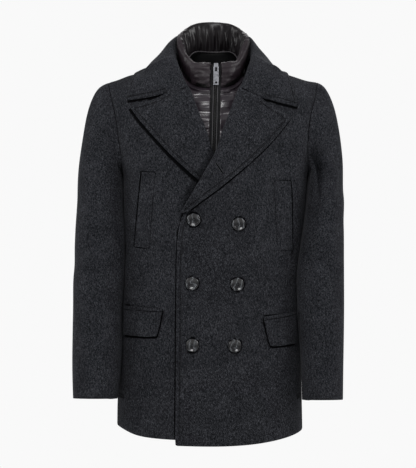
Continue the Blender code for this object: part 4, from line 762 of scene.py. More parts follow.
def edge_samples(node):
    """Places along a piece's sharp edges, the direction into the piece, and each edge's shade."""
    shape = quad_shape(node)
    places, inwards = [], []
    for edge in shape.edges:
        if len(edge.link_faces) != 2 or edge.calc_face_angle(0.0) < RIM_ANGLE:
            continue
        ends = [v.co for v in edge.verts]
        broad = max(edge.link_faces, key=lambda face: face.calc_area())
        along = (ends[1] - ends[0]).normalized()
        into = broad.calc_center_median() - (ends[0] + ends[1]) / 2
        into = (into - along * into.dot(along)).normalized()
        count = max(1, int((ends[1] - ends[0]).length / SAMPLE_STEP))
        for k in range(count):
            places.append(ends[0].lerp(ends[1], (k + 0.5) / count))
            inwards.append(into)
    shape.free()
    places, inwards = np.array(places), np.array(inwards)
    if node.startswith("lapel"):
        outer = inwards[:, 0] * (1 if "right" in node else -1) > 0
        outer &= (places[:, 2] > TIP_LOW) | (places[:, 0] > TIP_RIGHT) | (node == "lapel_right")
        places, inwards = places[outer], inwards[outer]
    lines = np.array([edge_line(node, place, into) for place, into in zip(places, inwards)])
    return settled(node, places), inwards, lines


samples = {node: edge_samples(node) for node in cloth}


def mark_edges(node):
    """Stores at each point how near the nearest edge of another piece is, and its painted shade's depth."""
    others = [n for n in samples if n != node and {n, node} not in QUIET_PAIRS]
    places, inwards, lines = (np.concatenate([samples[n][k] for n in others]) for k in range(3))
    tree = KDTree(len(places))
    for k, place in enumerate(places):
        tree.insert(place, k)
    tree.balance()
    mesh = cloth[node].data
    normals = normals_of(mesh)
    near, depths = np.zeros(len(normals)), np.zeros(len(normals))
    for k, point in enumerate(points_of(mesh)):
        if tree.find(point)[2] > SEARCH_REACH:
            continue
        hits = sorted(tree.find_range(point, SEARCH_REACH), key=lambda hit: hit[2])
        for _, index, gap in hits:
            way = places[index] - point
            if way @ normals[k] > BEHIND:
                depth, width, hold = lines[index]
                off = (gap if way @ inwards[index] > 0 else -gap) - hold / 1000
                near[k] = np.clip(1 - off / (EDGE_REACH * width), 0, NEAREST)
                depths[k] = depth
                break
    mesh.attributes.new("edge_near", "FLOAT", "POINT").data.foreach_set("value", near)
    mesh.attributes.new("edge_depth", "FLOAT", "POINT").data.foreach_set("value", depths)
    return int((near > EDGE_START).sum())


print("shaded points:", {node: mark_edges(node) for node in cloth})

# %% [markdown]
# A sleeve and the side that it hangs against shade each other too, below the armhole, over a few
# millimetres on the sleeve and fewer on the body. A point can hold only one shade, so where two
# would meet, the darker one stays.

# %% Shade between sleeve and side
SIDE_TOP = -0.205
SIDE_FADE = 0.06
SIDE_IN = 0.13
SLEEVE_NEAR = 0.0075
BODY_NEAR = 0.0022


def deepened(node, near, depth):
    """Adds a second shade to a piece, where it is darker than what is marked already."""
    marks = cloth[node].data.attributes
    old_near, old_depth = np.empty(len(near)), np.empty(len(near))
    marks["edge_near"].data.foreach_get("value", old_near)
    marks["edge_depth"].data.foreach_get("value", old_depth)
    new_shade = ramp(near, EDGE_START, EDGE_FULL) * depth
    old_shade = ramp(old_near, EDGE_START, EDGE_FULL) * old_depth
    darker = new_shade > old_shade
    marks["edge_near"].data.foreach_set("value", np.where(darker, near, old_near))
    marks["edge_depth"].data.foreach_set("value", np.where(darker, depth, old_depth))


def shade_between(nodes, others, reach):
    """Darkens the points of some pieces that hang close against others."""
    trees = [tree_of(cloth[other]) for other in others]
    for node in nodes:
        points = points_of(cloth[node].data)
        near = np.zeros(len(points))
        beside = (points[:, 2] < SIDE_TOP) & (np.abs(points[:, 0]) > SIDE_IN)
        for k in np.nonzero(beside)[0]:
            gaps = [tree.find_nearest(points[k], reach)[3] for tree in trees]
            gaps = [gap for gap in gaps if gap is not None]
            if gaps:
                near[k] = 1.0 - 0.5 * min(gaps) / reach
        deepened(node, near, ramp(points[:, 2], SIDE_TOP, SIDE_TOP - SIDE_FADE))


for side in ("left", "right"):
    sleeve = [f"sleeve_{side}_top", f"sleeve_{side}_under"]
    shade_between(sleeve, [f"front_{side}", "back"], SLEEVE_NEAR)
    shade_between([f"front_{side}", "back"], sleeve, BODY_NEAR)
print("sleeves and sides shaded")

# %% [markdown]
# Where the left front rolls over the right one it stands up off it, so its shade there is wide
# and soft. The line of the roll is read from the upper pieces themselves.

# %% Shade under the roll
ROLL_SHADE = 0.021
ROLL_DEPTH = 0.24
ROLL_UNDER = 0.01
ROLL_LOW, ROLL_TOP, LEVEL_STEP = -0.37, -0.16, 0.004
ROLL_FADE_TOP, ROLL_FADE_LOW = (-0.16, -0.20), (-0.33, -0.29)
IN_FRONT = -0.05

upper = np.concatenate([points_of(cloth[n].data) for n in ("lapel_left", "front_left")])
upper = upper[upper[:, 1] < IN_FRONT]
levels = np.arange(ROLL_LOW, ROLL_TOP, LEVEL_STEP)
roll_x = [upper[np.abs(upper[:, 2] - z) < LEVEL_STEP, 0].min() for z in levels]
for node in ("lapel_right", "front_right"):
    points = points_of(cloth[node].data)
    beside = np.interp(points[:, 2], levels, roll_x) - points[:, 0]
    near = np.clip(EDGE_FULL - (EDGE_FULL - EDGE_START) * beside / ROLL_SHADE, 0, EDGE_FULL)
    near *= beside > -ROLL_UNDER
    fade = ramp(points[:, 2], *ROLL_FADE_TOP) * ramp(points[:, 2], *ROLL_FADE_LOW)
    deepened(node, near, ROLL_DEPTH * fade * (points[:, 1] < IN_FRONT))
print("roll of the left front from", round(roll_x[0], 3), "to", round(roll_x[-1], 3))

# %% [markdown]
# The deep fold at the front of the left sleeve lies in its own shade, and so does the ring of
# cloth round each button, where the button is drawn down on its thread.

# %% Shade in the sleeve fold and round the buttons
FOLD_TOP = (0.226, -0.176)
FOLD_LOW = (0.203, -0.335)
FOLD_HALF = 0.024
FOLD_NARROWS = (1.1, 0.6)
FOLD_BEGINS, FOLD_ENDS = (0.01, -0.06), (-0.02, 0.05)
FOLD_SHADE = 0.42
FOLD_NEAREST, FOLD_FALL = 0.90, 0.40
SLEEVE_FRONT = -0.02
BUTTON_RING = 0.0052
BUTTON_GAP = 0.0004
BUTTON_SHADE = 0.9
BUTTON_NEAREST = 1.3
BUTTONS = range(1, 7)

points = points_of(cloth["sleeve_left_top"].data)
down = np.clip((points[:, 2] - FOLD_TOP[1]) / (FOLD_LOW[1] - FOLD_TOP[1]), 0, 1)
half = FOLD_HALF * (FOLD_NARROWS[0] - (FOLD_NARROWS[0] - FOLD_NARROWS[1]) * down)
beside = np.abs(points[:, 0] - FOLD_TOP[0] - down * (FOLD_LOW[0] - FOLD_TOP[0])) / half
ends = ramp(points[:, 2], *(FOLD_TOP[1] + off for off in FOLD_BEGINS))
ends *= ramp(points[:, 2], *(FOLD_LOW[1] + off for off in FOLD_ENDS))
near = np.clip(FOLD_NEAREST - FOLD_FALL * beside, 0, FOLD_NEAREST)
deepened("sleeve_left_top", near, FOLD_SHADE * ends * (points[:, 1] < SLEEVE_FRONT))
points = points_of(cloth["front_left"].data)
for number in BUTTONS:
    low, high = (np.array(corner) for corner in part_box(f"button_{number}"))
    middle, radius = (low + high) / 2, (high[2] - low[2]) / 2
    off = np.hypot(points[:, 0] - middle[0], points[:, 2] - middle[2]) - radius - BUTTON_GAP
    near = np.clip(1 - off / BUTTON_RING, 0, BUTTON_NEAREST)
    deepened("front_left", near, BUTTON_SHADE * (points[:, 1] < IN_FRONT))
print("fold and", len(BUTTONS), "buttons shaded")

# %% [markdown]
# ## The lining
# Seen from below or through a cuff, the inside of the coat is satin, with a band of the wool
# turned up along the hem, the cuffs and the front edges. The faces that look inward, towards
# the wearer, take the satin; a few centimetres along the edges keep the wool.

# %% Lining faces
HEM_FACING = 0.035
FRONT_FACING = 0.075
HEM_Z = -0.765
CUFF_Z = -0.698
SLEEVE_MIDDLE_X = 0.228
BODY_MIDDLE = 0.005
INWARD = -0.2


def outward(node, place):
    """The level direction away from the wearer, at a place on a piece."""
    if node.startswith("sleeve"):
        side = 1 if "left" in node else -1
        forward = SLEEVE_SWEEP * max(0.0, SLEEVE_BEND_Z - place.z)
        return Vector((place.x - side * SLEEVE_MIDDLE_X, place.y + forward, 0.0))
    return Vector(((place.x - BODY_MIDDLE) * 0.4, place.y - BODY_MIDDLE, 0.0))


for node in ("front_left", "front_right", "back", "sleeve_left_top", "sleeve_left_under",
             "sleeve_right_top", "sleeve_right_under"):
    mesh = cloth[node].data
    mesh.materials.append(lining_satin)
    lowest = (CUFF_Z if node.startswith("sleeve") else HEM_Z) + HEM_FACING
    inner = 0
    for face in mesh.polygons:
        inward = face.normal.dot(outward(node, face.center).normalized()) < INWARD
        facing = node.startswith("front") and abs(face.center.x) < FRONT_FACING
        if inward and not facing and face.center.z > lowest:
            face.material_index = 1
            inner += 1
    print(node, "lining faces", inner)

# %% [markdown]
# ## Folds in the nylon
# The neck piece is quilted: rows of stitches hold the wadding in rolls that lie across the
# chest. Each roll bulges out below its row, so it faces up and catches the light, and turns
# sharply back in at the next. Height tables, from the top down, give the shape of the rolls on
# each side of the zip; a stretched noise adds the small crumples beside the rows.

# %% Rolls and crumples
# Height, and how many millimetres the cloth stands out there
ROLLS_RIGHT = [
    (-0.064, -0.4), (-0.0655, 0.4), (-0.0740, 4.6), (-0.0768, 1.2), (-0.0800, 2.2),
    (-0.0826, 0.6), (-0.0925, 2.8), (-0.0950, 1.2), (-0.1110, -2.0), (-0.1175, 1.4),
    (-0.1200, -1.0), (-0.1265, 1.3), (-0.1345, -0.4), (-0.1460, 3.0), (-0.1480, 0.8),
    (-0.1515, 2.0), (-0.1540, 0.4), (-0.1610, 2.0), (-0.1640, 0.8), (-0.1880, 1.6),
    (-0.1900, 0.4), (-0.2300, 1.4),
]
ROLLS_LEFT = [
    (-0.064, -0.4), (-0.0655, 0.4), (-0.0735, 4.2), (-0.0762, 0.8), (-0.0800, 2.2),
    (-0.0826, 0.6), (-0.0920, 2.8), (-0.0942, 0.8), (-0.1025, -0.2), (-0.1050, 0.9),
    (-0.1085, -0.8), (-0.1198, -1.6), (-0.1215, -1.8), (-0.1480, -0.8), (-0.1540, -0.6),
    (-0.1620, 0.4), (-0.1880, 0.4), (-0.2300, 0.6),
]
ZIP_X = 0.0135
TAPE_HALF, TAPE_FADE = 0.0095, 0.003
BIB_TOP, BIB_FADE = -0.064, 0.004
WAVE_RISE = 0.0014
CRUMPLE_MM = 0.45


def add_rolls(piece, table, slant, seed):
    """Moves the showing face of a quilted front in and out by the table of heights."""
    mesh = piece.data
    points = points_of(mesh)
    shown = np.clip((-normals_of(mesh)[:, 1] - 0.2) / 0.5, 0, 1)
    levels, bulge = zip(*sorted(table))
    across = np.abs(points[:, 0] - ZIP_X)
    wave = np.array([noise.noise(Vector((p[0] * 30 + seed, p[2] * 12, seed))) for p in points])
    crumple = np.array([noise.noise(Vector((p[0] * 55 + seed, p[2] * 260, 3.1))) for p in points])
    z = points[:, 2] + slant * across + WAVE_RISE * wave
    rise = np.interp(z, levels, bulge) * (0.75 + 0.5 * wave) + CRUMPLE_MM * crumple
    fade = np.clip((across - TAPE_HALF) / TAPE_FADE, 0.25, 1)
    fade *= np.clip((BIB_TOP - points[:, 2]) / BIB_FADE, 0, 1)
    points[:, 1] -= rise / 1000 * shown * fade
    set_points(mesh, points)
    return float((rise * shown * fade).max())


right_rise = add_rolls(cloth["insert_front_right"], ROLLS_RIGHT, slant=0.03, seed=4.0)
left_rise = add_rolls(cloth["insert_front_left"], ROLLS_LEFT, slant=-0.10, seed=9.0)
print("rolls stand out by mm:", round(right_rise, 2), round(left_rise, 2))

# %% [markdown]
# The standing collar is one soft tube, pinched where it is sewn to the fronts. Its crumples
# run along it, short and deep by the seam and the zip, long and shallow above. Inside, at the
# back, the nylon is gathered on its way down to the neck seam, in upright folds.

# %% Collar crumples
# x and z of each fold's ends on the front of the collar, its half width and its depth in mm
COLLAR_FOLDS = [
    (-28, -14, 6, -17, 2.6, -1.1), (-30, -24, 2, -29, 2.4, -1.0), (-32, -36, 6, -33, 2.2, -1.3),
    (-36, -45, -6, -47, 2.4, -1.0), (-20, -52, 7, -40, 1.8, -1.5), (-38, -56, -12, -60, 2.2, -1.2),
    (-14, -62, 8, -52, 1.6, -1.4), (22, -16, 44, -10, 2.6, -1.1), (20, -27, 52, -20, 2.6, -1.2),
    (20, -38, 40, -34, 2.0, -1.2), (20, -46, 58, -38, 2.4, -1.3), (19, -56, 34, -50, 1.8, -1.6),
    (20, -62, 50, -58, 1.8, -1.3), (36, -50, 60, -48, 2.0, -1.0),
]
# The give of the two corners of the opening, written as in GIVES
OPENING_CORNERS = [(-27, 3, 8, 8, -1.0, -6.0), (54, 3, 8, 8, 1.0, -6.0)]
OPENING_FRONT = (-0.01, -0.03)
NECK_MIDDLE = (0.008, -0.005)
SEAM_PINCH = 2.6
PINCH_FROM = (-0.052, -0.066)
COLLAR_TOP, TOP_FADE = 0.088, 0.03
INSIDE_FROM = -0.55
CALM_TURN = 0.10
CALM_HALF = 0.27


def add_crumples(piece):
    """Crumples the collar, outside along its length and inside upright, and pinches its seam."""
    mesh = piece.data
    points = points_of(mesh)
    normals = normals_of(mesh)
    out = points - (*NECK_MIDDLE, 0.0)
    out[:, 2] = 0.0
    out /= np.linalg.norm(out, axis=1, keepdims=True)
    outer = np.clip((normals * out).sum(axis=1) * 2, -1, 1)
    turn = np.arctan2(out[:, 0], -out[:, 1])
    from_back = np.arctan2(out[:, 0], out[:, 1])
    front = np.clip((-out[:, 1] - 0.2) / 0.3, 0, 1)
    hand_laid = fold_depth(points[:, 0] * 1000, points[:, 2] * 1000, COLLAR_FOLDS) * front
    moved = np.empty(len(points))
    for i, p in enumerate(points):
        along = turn[i] * 2.2
        if outer[i] > 0:
            low = noise.noise(Vector((along * 2.0, p[2] * 80, 1.7)))
            fine = noise.noise(Vector((along * 5.0, p[2] * 190, 5.2)))
            moved[i] = outer[i] * (0.9 * low + 0.8 * fine + hand_laid[i])
        else:
            calm = math.exp(-((from_back[i] + CALM_TURN) / CALM_HALF) ** 2)
            wide = noise.noise(Vector((from_back[i] * 2.6 + 4, p[2] * 14, 8.4)))
            upright = 1 - 3.2 * abs(noise.noise(Vector((from_back[i] * 5.2 + p[2] * 6, p[2] * 22, 2.4))))
            rim = np.clip((COLLAR_TOP - p[2]) / TOP_FADE, 0.15, 1)
            moved[i] = -outer[i] * rim * (2.2 * wide + 2.0 * upright * (1 - 0.85 * calm))
    points += normals * (moved * 0.001)[:, None]
    points += given(points, OPENING_CORNERS) * ramp(points[:, 1], *OPENING_FRONT)[:, None]
    low = ramp(points[:, 2], *PINCH_FROM)
    pinch = SEAM_PINCH / 1000 * low * low * np.clip(outer, 0, 1) * front
    points -= out * pinch[:, None]
    set_points(mesh, points)
    # The collar's inward faces take the darker copy of the nylon: painted shade
    mesh.materials.append(shaded_inside_nylon)
    for face in mesh.polygons:
        if np.mean([outer[v] for v in face.vertices]) < INSIDE_FROM:
            face.material_index = 1


add_crumples(cloth["insert_collar"])
cloth["insert_back"].data.materials.clear()
cloth["insert_back"].data.materials.append(neck_satin)
print("collar folds laid by hand:", len(COLLAR_FOLDS))

# %% [markdown]
# ## Rows of stitches
# The front edge, the lapels and the collar are stitched a few millimetres inside their edges.
# A row is found from the solid's own sharp edge on the showing side, followed along it, and
# set inside by the inset.

# %% Finding an edge and its row
SHOWING = 0.35
EVEN_OUT = 0.012


def edge_rows(node, facing, keep, inset):
    """Runs of (edge point, direction into the piece) along a node's showing edge."""
    shape = quad_shape(node)
    links_of = {}
    inward = {}
    for edge in shape.edges:
        if len(edge.link_faces) != 2 or edge.calc_face_angle(0.0) < RIM_ANGLE:
            continue
        middle = (edge.verts[0].co + edge.verts[1].co) / 2
        look = facing(middle)
        shown = max(edge.link_faces, key=lambda face: face.normal.dot(look))
        if shown.normal.dot(look) < SHOWING or not keep(middle):
            continue
        along = (edge.verts[1].co - edge.verts[0].co).normalized()
        into = shown.calc_center_median() - middle
        into = (into - along * into.dot(along)).normalized()
        for vert in edge.verts:
            inward.setdefault(vert.index, []).append(into)
        a, b = edge.verts[0].index, edge.verts[1].index
        links_of.setdefault(a, []).append(b)
        links_of.setdefault(b, []).append(a)
    shape.verts.ensure_lookup_table()
    rows, done = [], set()
    for start in sorted(links_of, key=lambda v: (len(links_of[v]) != 1, v)):
        if start in done:
            continue
        run, here = [start], start
        done.add(start)
        while True:
            ahead = [v for v in links_of[here] if v not in done]
            if not ahead:
                break
            here = ahead[0]
            done.add(here)
            run.append(here)
        if len(run) > 2:
            places = settled(node, np.array([shape.verts[v].co for v in run]))
            moves = [sum(inward[v], Vector()).normalized() * inset for v in run]
            rows.append(list(zip(places, moves)))
    shape.free()
    return rows


def lengths_along(line):
    """How far along a line of points each one lies."""
    steps = np.linalg.norm(np.diff(line, axis=0), axis=1)
    return np.concatenate([[0], np.cumsum(steps)])


def resampled(row, step):
    """The run's points and inward moves, smoothed and taken every step metres."""
    rough_points = np.array([p for p, _ in row])
    rough_moves = np.array([m for _, m in row])
    lengths = lengths_along(rough_points)
    places = np.arange(0, lengths[-1], step)
    dense = np.stack([np.interp(places, lengths, rough_points[:, k]) for k in range(3)], axis=1)
    moves = np.stack([np.interp(places, lengths, rough_moves[:, k]) for k in range(3)], axis=1)
    window = max(3, int(EVEN_OUT / step) | 1)
    kernel = np.ones(window) / window
    for values in (dense, moves):
        for k in range(3):
            longer = np.pad(values[:, k], window // 2, mode="reflect", reflect_type="odd")
            values[:, k] = np.convolve(longer, kernel, "valid")
    return dense, moves


# %% [markdown]
# A stitch is a short six-sided bar of thread. It thins and dips into the cloth at both ends.
# All the stitches of a row become one piece, which keeps the number of objects small.

# %% A bar of thread
STITCH_LENGTH = 0.0030
STITCH_STEP = 0.0042
THREAD_RADIUS = 0.00030
THREAD_SIDES = 6
# Share of the length, thickness and dip of each ring of points along a stitch
THREAD_RINGS = [(0.0, 0.35, 1.4), (0.16, 0.95, 0.3), (0.5, 1.0, 0.0), (0.84, 0.95, 0.3),
                (1.0, 0.35, 1.4)]
SUNK = 0.0001


def ring_faces(rings, sides):
    """Four-sided faces between rings of points that follow each other."""
    faces = []
    for ring in range(rings - 1):
        for k in range(sides):
            a, b = ring * sides + k, ring * sides + (k + 1) % sides
            faces.append((a, b, b + sides, a + sides))
    return faces


def thread_bar(start, end, out, radius=THREAD_RADIUS):
    """Points and faces of a thread bar from start to end, dipping at both ends."""
    side = (end - start).normalized().cross(out).normalized()
    points = []
    for share, size, dip in THREAD_RINGS:
        centre = start.lerp(end, share) - out * radius * dip
        for k in range(THREAD_SIDES):
            angle = k * math.pi / 3
            points.append(centre + (side * math.cos(angle) + out * math.sin(angle)) * radius * size)
    first_cap = tuple(range(THREAD_SIDES - 1, -1, -1))
    last_cap = tuple(range(len(points) - THREAD_SIDES, len(points)))
    return points, ring_faces(len(THREAD_RINGS), THREAD_SIDES) + [first_cap, last_cap]


def join_on(points, faces, part):
    """Appends the points and faces of one part to those of a whole piece."""
    base = len(points)
    points += part[0]
    faces += [tuple(base + i for i in face) for face in part[1]]


def mesh_piece(name, points, faces, material, slot):
    """A piece of the coat's own body, made from points and faces."""
    mesh = bpy.data.meshes.new(name)
    mesh.from_pydata([tuple(p) for p in points], [], faces)
    mesh.materials.append(material)
    mesh.shade_smooth()
    piece = bpy.data.objects.new(name, mesh)
    scene.collection.objects.link(piece)
    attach(piece, "coat")
    return piece


# %% [markdown]
# A row is worked in three steps. The line inside the edge is laid on the cloth's own surface;
# every point near it stores its distance, signed by side, for the furrow; and stitches follow
# the line at an even pitch, sunk a hair into the furrow.

# %% A row of stitches
NO_ROW = 1.05
ROW_STEP = 0.0014
ROW_REACH = 0.012
ROW_BEGINS = 0.001
ABOVE = 0.002
AT_ONCE = 4000


def line_on(tree, targets, facing):
    """The places on the cloth nearest to a row of targets, and the way out at each."""
    line, outs = np.empty_like(targets), []
    for k, target in enumerate(targets):
        found, normal, _, _ = tree.find_nearest(Vector(target) + facing(Vector(target)) * ABOVE)
        line[k] = found
        outs.append(normal)
    return line, outs


def store_row(stored, points, line, moves, inset):
    """Writes each near point's signed distance from the line, plus one metre."""
    for first in range(0, len(points), AT_ONCE):
        some = slice(first, first + AT_ONCE)
        gaps = np.linalg.norm(points[some][:, None] - line[None], axis=2)
        best = gaps.argmin(axis=1)
        gap = gaps[np.arange(len(best)), best]
        side = ((points[some] - line[best]) * moves[best]).sum(axis=1) / inset
        inside = (best > 0) & (best < len(line) - 1) & (gap < ROW_REACH)
        signed = np.where(side >= 0, gap, -gap)
        better = inside & (np.abs(signed) < np.abs(stored[some] - 1))
        stored[some] = np.where(better, 1 + signed, stored[some])


def at_length(line, lengths, length):
    return Vector([np.interp(length, lengths, line[:, k]) for k in range(3)])


def sew(node, facing, keep, inset):
    """Marks the furrow on a piece and lays the stitches of its row."""
    piece = cloth[node]
    points = points_of(piece.data)
    tree = tree_of(piece)
    stored = np.full(len(points), NO_ROW)
    bars, bar_faces = [], []
    for row in edge_rows(node, facing, keep, inset):
        edge, moves = resampled(row, ROW_STEP)
        line, outs = line_on(tree, edge + moves, facing)
        store_row(stored, points, line, moves, inset)
        lengths = lengths_along(line)
        for begin in np.arange(ROW_BEGINS, lengths[-1] - STITCH_LENGTH, STITCH_STEP):
            out = outs[min(len(outs) - 1, int(np.searchsorted(lengths, begin)))]
            start = at_length(line, lengths, begin) - out * SUNK
            end = at_length(line, lengths, begin + STITCH_LENGTH) - out * SUNK
            join_on(bars, bar_faces, thread_bar(start, end, out))
    piece.data.attributes.new("stitch_row", "FLOAT", "POINT").data.foreach_set("value", stored)
    print(node, "stitches:", len(bars) // (len(THREAD_RINGS) * THREAD_SIDES))
    return mesh_piece(piece.name + "_stitches", bars, bar_faces, thread, "wool")


# %% [markdown]
# Which edges are stitched: the lapels and the front edge in one run, the collar's fall round
# its outer edge. The flaps, jets and welts are turned and pressed, with no row. A lapel's inner
# side is the roll and has no row either, so only places outside the line of its roll are kept.

# %% Stitching the wool
FRONT_INSET = 0.0075
# A place on the line of each roll, seen from the front, and how steeply the line rises
RIGHT_ROLL = (-0.0895, -0.067, -1.92)
LEFT_ROLL = (0.0516, -0.199, 1.10)
LEFT_LAPEL_POINT_X = 0.105


def forward(place):
    return Vector((0, -1, 0))


def from_neck(place):
    return Vector((place.x - 0.008, place.y - 0.02, 0.012)).normalized()


def below(line, place):
    x, z, slope = line
    return place.z < z + slope * (place.x - x)


def outside_right_lapel(place):
    return below(RIGHT_ROLL, place)


def outside_left_lapel(place):
    return place.x > LEFT_LAPEL_POINT_X or below(LEFT_ROLL, place)


def along_left_front(place):
    return place.x < -0.02 and -0.775 < place.z < -0.30


def round_the_fall(place):
    outer = math.hypot(place.x - 0.008, place.y) > 0.078 and place.z < 0.062
    return outer and (place.y > 0 or place.x < -0.088 or place.x > 0.106)


STITCHED = {
    "front_left": (forward, along_left_front), "lapel_left": (forward, outside_left_lapel),
    "lapel_right": (forward, outside_right_lapel), "collar": (from_neck, round_the_fall),
}
rows = {node: [sew(node, facing, keep, FRONT_INSET)] for node, (facing, keep) in STITCHED.items()}
print("rows sewn on", list(rows))

# %% [markdown]
# The left lapel has a buttonhole in its broad part: a slit with a close border of thread on
# both sides, each stitch laid across the edge of the slit. Its places are found by casting
# rays at the lapel from in front of it. The shade inside the slit is added below, with the
# zip's cords, as a sunken dark tube along the same line: painted shade.

# %% Lapel buttonhole
RAY_FROM = -0.4
HOLE_ENDS = (Vector((0.0125, RAY_FROM, -0.219)), Vector((0.0255, RAY_FROM, -0.238)))
HOLE_STITCH = 0.0016
HOLE_PITCH = 0.0007
HOLE_THREAD = 0.00026
SLIT_HALF, SLIT_SUNK = 0.0009, 0.0006
BACKWARD = Vector((0, 1, 0))


def buttonhole(lapel):
    """Sews the border on a lapel; returns that piece and the line of the slit."""
    tree = tree_of(lapel)
    count = int((HOLE_ENDS[1] - HOLE_ENDS[0]).length / HOLE_PITCH)
    along = (HOLE_ENDS[1] - HOLE_ENDS[0]).normalized()
    bars, bar_faces, slit = [], [], []
    for k in range(count + 1):
        place, out, _, _ = tree.ray_cast(HOLE_ENDS[0].lerp(HOLE_ENDS[1], k / count), BACKWARD)
        across = along.cross(out).normalized()
        slit.append(place - out * SLIT_SUNK)
        for side in (-1, 1):
            start = place + across * side * SLIT_HALF
            end = start + across * side * HOLE_STITCH
            join_on(bars, bar_faces, thread_bar(start, end, out, HOLE_THREAD))
    border = mesh_piece("lapel_buttonhole_border", bars, bar_faces, thread, "wool")
    return border, slit


border, slit_line = buttonhole(cloth["lapel_left"])
rows["lapel_left"].append(border)
print("buttonhole from", np.round(slit_line[0], 4), "to", np.round(slit_line[-1], 4))

# %% [markdown]
# ## The zip
# Each half of the zip is a tape with a row of moulded teeth. Closed, the rows mesh: a tooth
# from the left, a tooth from the right, all the way down. The gap between the two tapes gives
# the line that they follow.

# %% The line of the zip
ROUND_HEIGHT = 0.004
WAY = {"left": 1, "right": -1}

tapes = {side: points_of(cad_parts[f"zip_tape_{side}"].data) for side in WAY}
tape_trees = {side: tree_of(cloth[f"zip_tape_{side}"]) for side in WAY}
zip_top = float(max(p[:, 2].max() for p in tapes.values()))
zip_low = float(min(p[:, 2].min() for p in tapes.values()))
middles = []
for z in np.unique(np.round(np.concatenate([p[:, 2] for p in tapes.values()]), 3)):
    left, right = (p[np.abs(p[:, 2] - z) < ROUND_HEIGHT] for p in (tapes["left"], tapes["right"]))
    if len(left) and len(right):
        middles.append((z, (left[:, 0].min() + right[:, 0].max()) / 2))
middle_fit = np.polyfit([z for z, _ in middles], [x for _, x in middles], 2)


def on_tape(side, z, beside):
    """The place on a tape's front at a height, so far beside the middle, and the way it faces."""
    x = float(np.polyval(middle_fit, z)) + WAY[side] * beside
    found, normal, _, _ = tape_trees[side].ray_cast(Vector((x, RAY_FROM, z)), BACKWARD)
    return found, normal


print("zip from", round(zip_top, 4), "to", round(zip_low, 4))

# %% [markdown]
# A tooth is a small block with its front edges cut back. All the teeth are one piece, because
# the zip is closed and its halves move together.

# %% Teeth
TOOTH_PITCH = 0.0017
TOOTH_REACH = 0.0031
TOOTH_WIDE = TOOTH_REACH * 1.5
TOOTH_OFF = TOOTH_REACH * 0.32
TOOTH_HIGH = 0.0011
TOOTH_THICK = 0.0016
TOOTH_ON_TAPE = (0.0025, 0.0035, 0.005)
UNDER_SLIDER, ABOVE_END = 0.003, 0.004
# How far out each ring of a tooth's corners lies, as a share of its thickness, and its size
TOOTH_RINGS = [(-0.2, 1.0), (0.6, 1.0), (1.0, 0.7)]
UP = Vector((0, 0, 1))


def zip_point(side, z):
    """The middle of the zip at a height, on the level of a tape's front, and the way it faces."""
    for beside in TOOTH_ON_TAPE:
        found, normal = on_tape(side, z, beside)
        if found is not None:
            return Vector((float(np.polyval(middle_fit, z)), found.y, z)), normal
    return None, None


def tooth(centre, across, up, out):
    points = []
    for depth, share in TOOTH_RINGS:
        for sx, sz in ((-1, -1), (1, -1), (1, 1), (-1, 1)):
            corner = across * (sx * TOOTH_WIDE / 2 * share) + up * (sz * TOOTH_HIGH / 2 * share)
            points.append(centre + corner + out * (TOOTH_THICK * depth))
    return points, [(3, 2, 1, 0), (8, 9, 10, 11)] + ring_faces(len(TOOTH_RINGS), 4)


def moulded(name, low, high, roughness, gloss):
    material, nodes, links, shader = new_material(name)
    shader.inputs["Specular IOR Level"].default_value = gloss
    point = nodes.new("ShaderNodeTexCoord").outputs["Object"]
    grain = noise_node(nodes, links, point, 900, 2, 0.5)
    ramp = ramp_node(nodes, [(0.35, low), (0.65, high)])
    links.new(grain, ramp.inputs["Fac"])
    links.new(ramp.outputs["Color"], shader.inputs["Base Color"])
    worn = ramp_node(nodes, [(0.3, roughness * 0.8), (0.7, roughness * 1.2)])
    links.new(grain, worn.inputs["Fac"])
    links.new(worn.outputs["Color"], shader.inputs["Roughness"])
    return material


tooth_resin = moulded("moulded teeth", (0.0016, 0.0016, 0.0019), (0.0035, 0.0035, 0.0040), 0.35, 0.10)
teeth, tooth_faces = [], []
count = 0
z = float(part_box("zip_slider")[0].z) + UNDER_SLIDER
while z > zip_low + ABOVE_END:
    side = "left" if count % 2 else "right"
    place, out = zip_point(side, z)
    if place is not None:
        up = (UP - out * UP.dot(out)).normalized()
        place.x += WAY[side] * TOOTH_OFF
        join_on(teeth, tooth_faces, tooth(place, up.cross(out), up, out))
        count += 1
    z -= TOOTH_PITCH
mesh_piece("zip_teeth", teeth, tooth_faces, tooth_resin, "tape").data.shade_flat()
print("teeth:", count)

# %% [markdown]
# A thin paler cord is woven into each tape beside the teeth, to stiffen it. It is a fine round
# tube swept along the tape, which is quicker to control than a curve with a bevel. The same
# tube, dark and matt, lies in the buttonhole's slit as its painted shade.

# %% Cords
CORD_OFF = 0.0043
CORD_RADIUS = 0.00050
CORD_STEP = 0.003
CORD_UNDER_TOP = 0.002
SLIT_RADIUS = 0.0010
TUBE_SIDES = 8


def swept(name, line, radius, material, slot, out=-BACKWARD):
    """A round tube through a row of points, closed at both ends."""
    points = []
    for k, place in enumerate(line):
        along = (line[min(k + 1, len(line) - 1)] - line[max(k - 1, 0)]).normalized()
        across = along.cross(out).normalized()
        rise = across.cross(along)
        for turn in range(TUBE_SIDES):
            angle = turn * math.pi / 4
            points.append(place + (across * math.cos(angle) + rise * math.sin(angle)) * radius)
    faces = [(b, a, d, c) for a, b, c, d in ring_faces(len(line), TUBE_SIDES)]
    last = len(points) - TUBE_SIDES
    faces += [tuple(range(TUBE_SIDES)), tuple(range(len(points) - 1, last - 1, -1))]
    return mesh_piece(name, points, faces, material, slot)
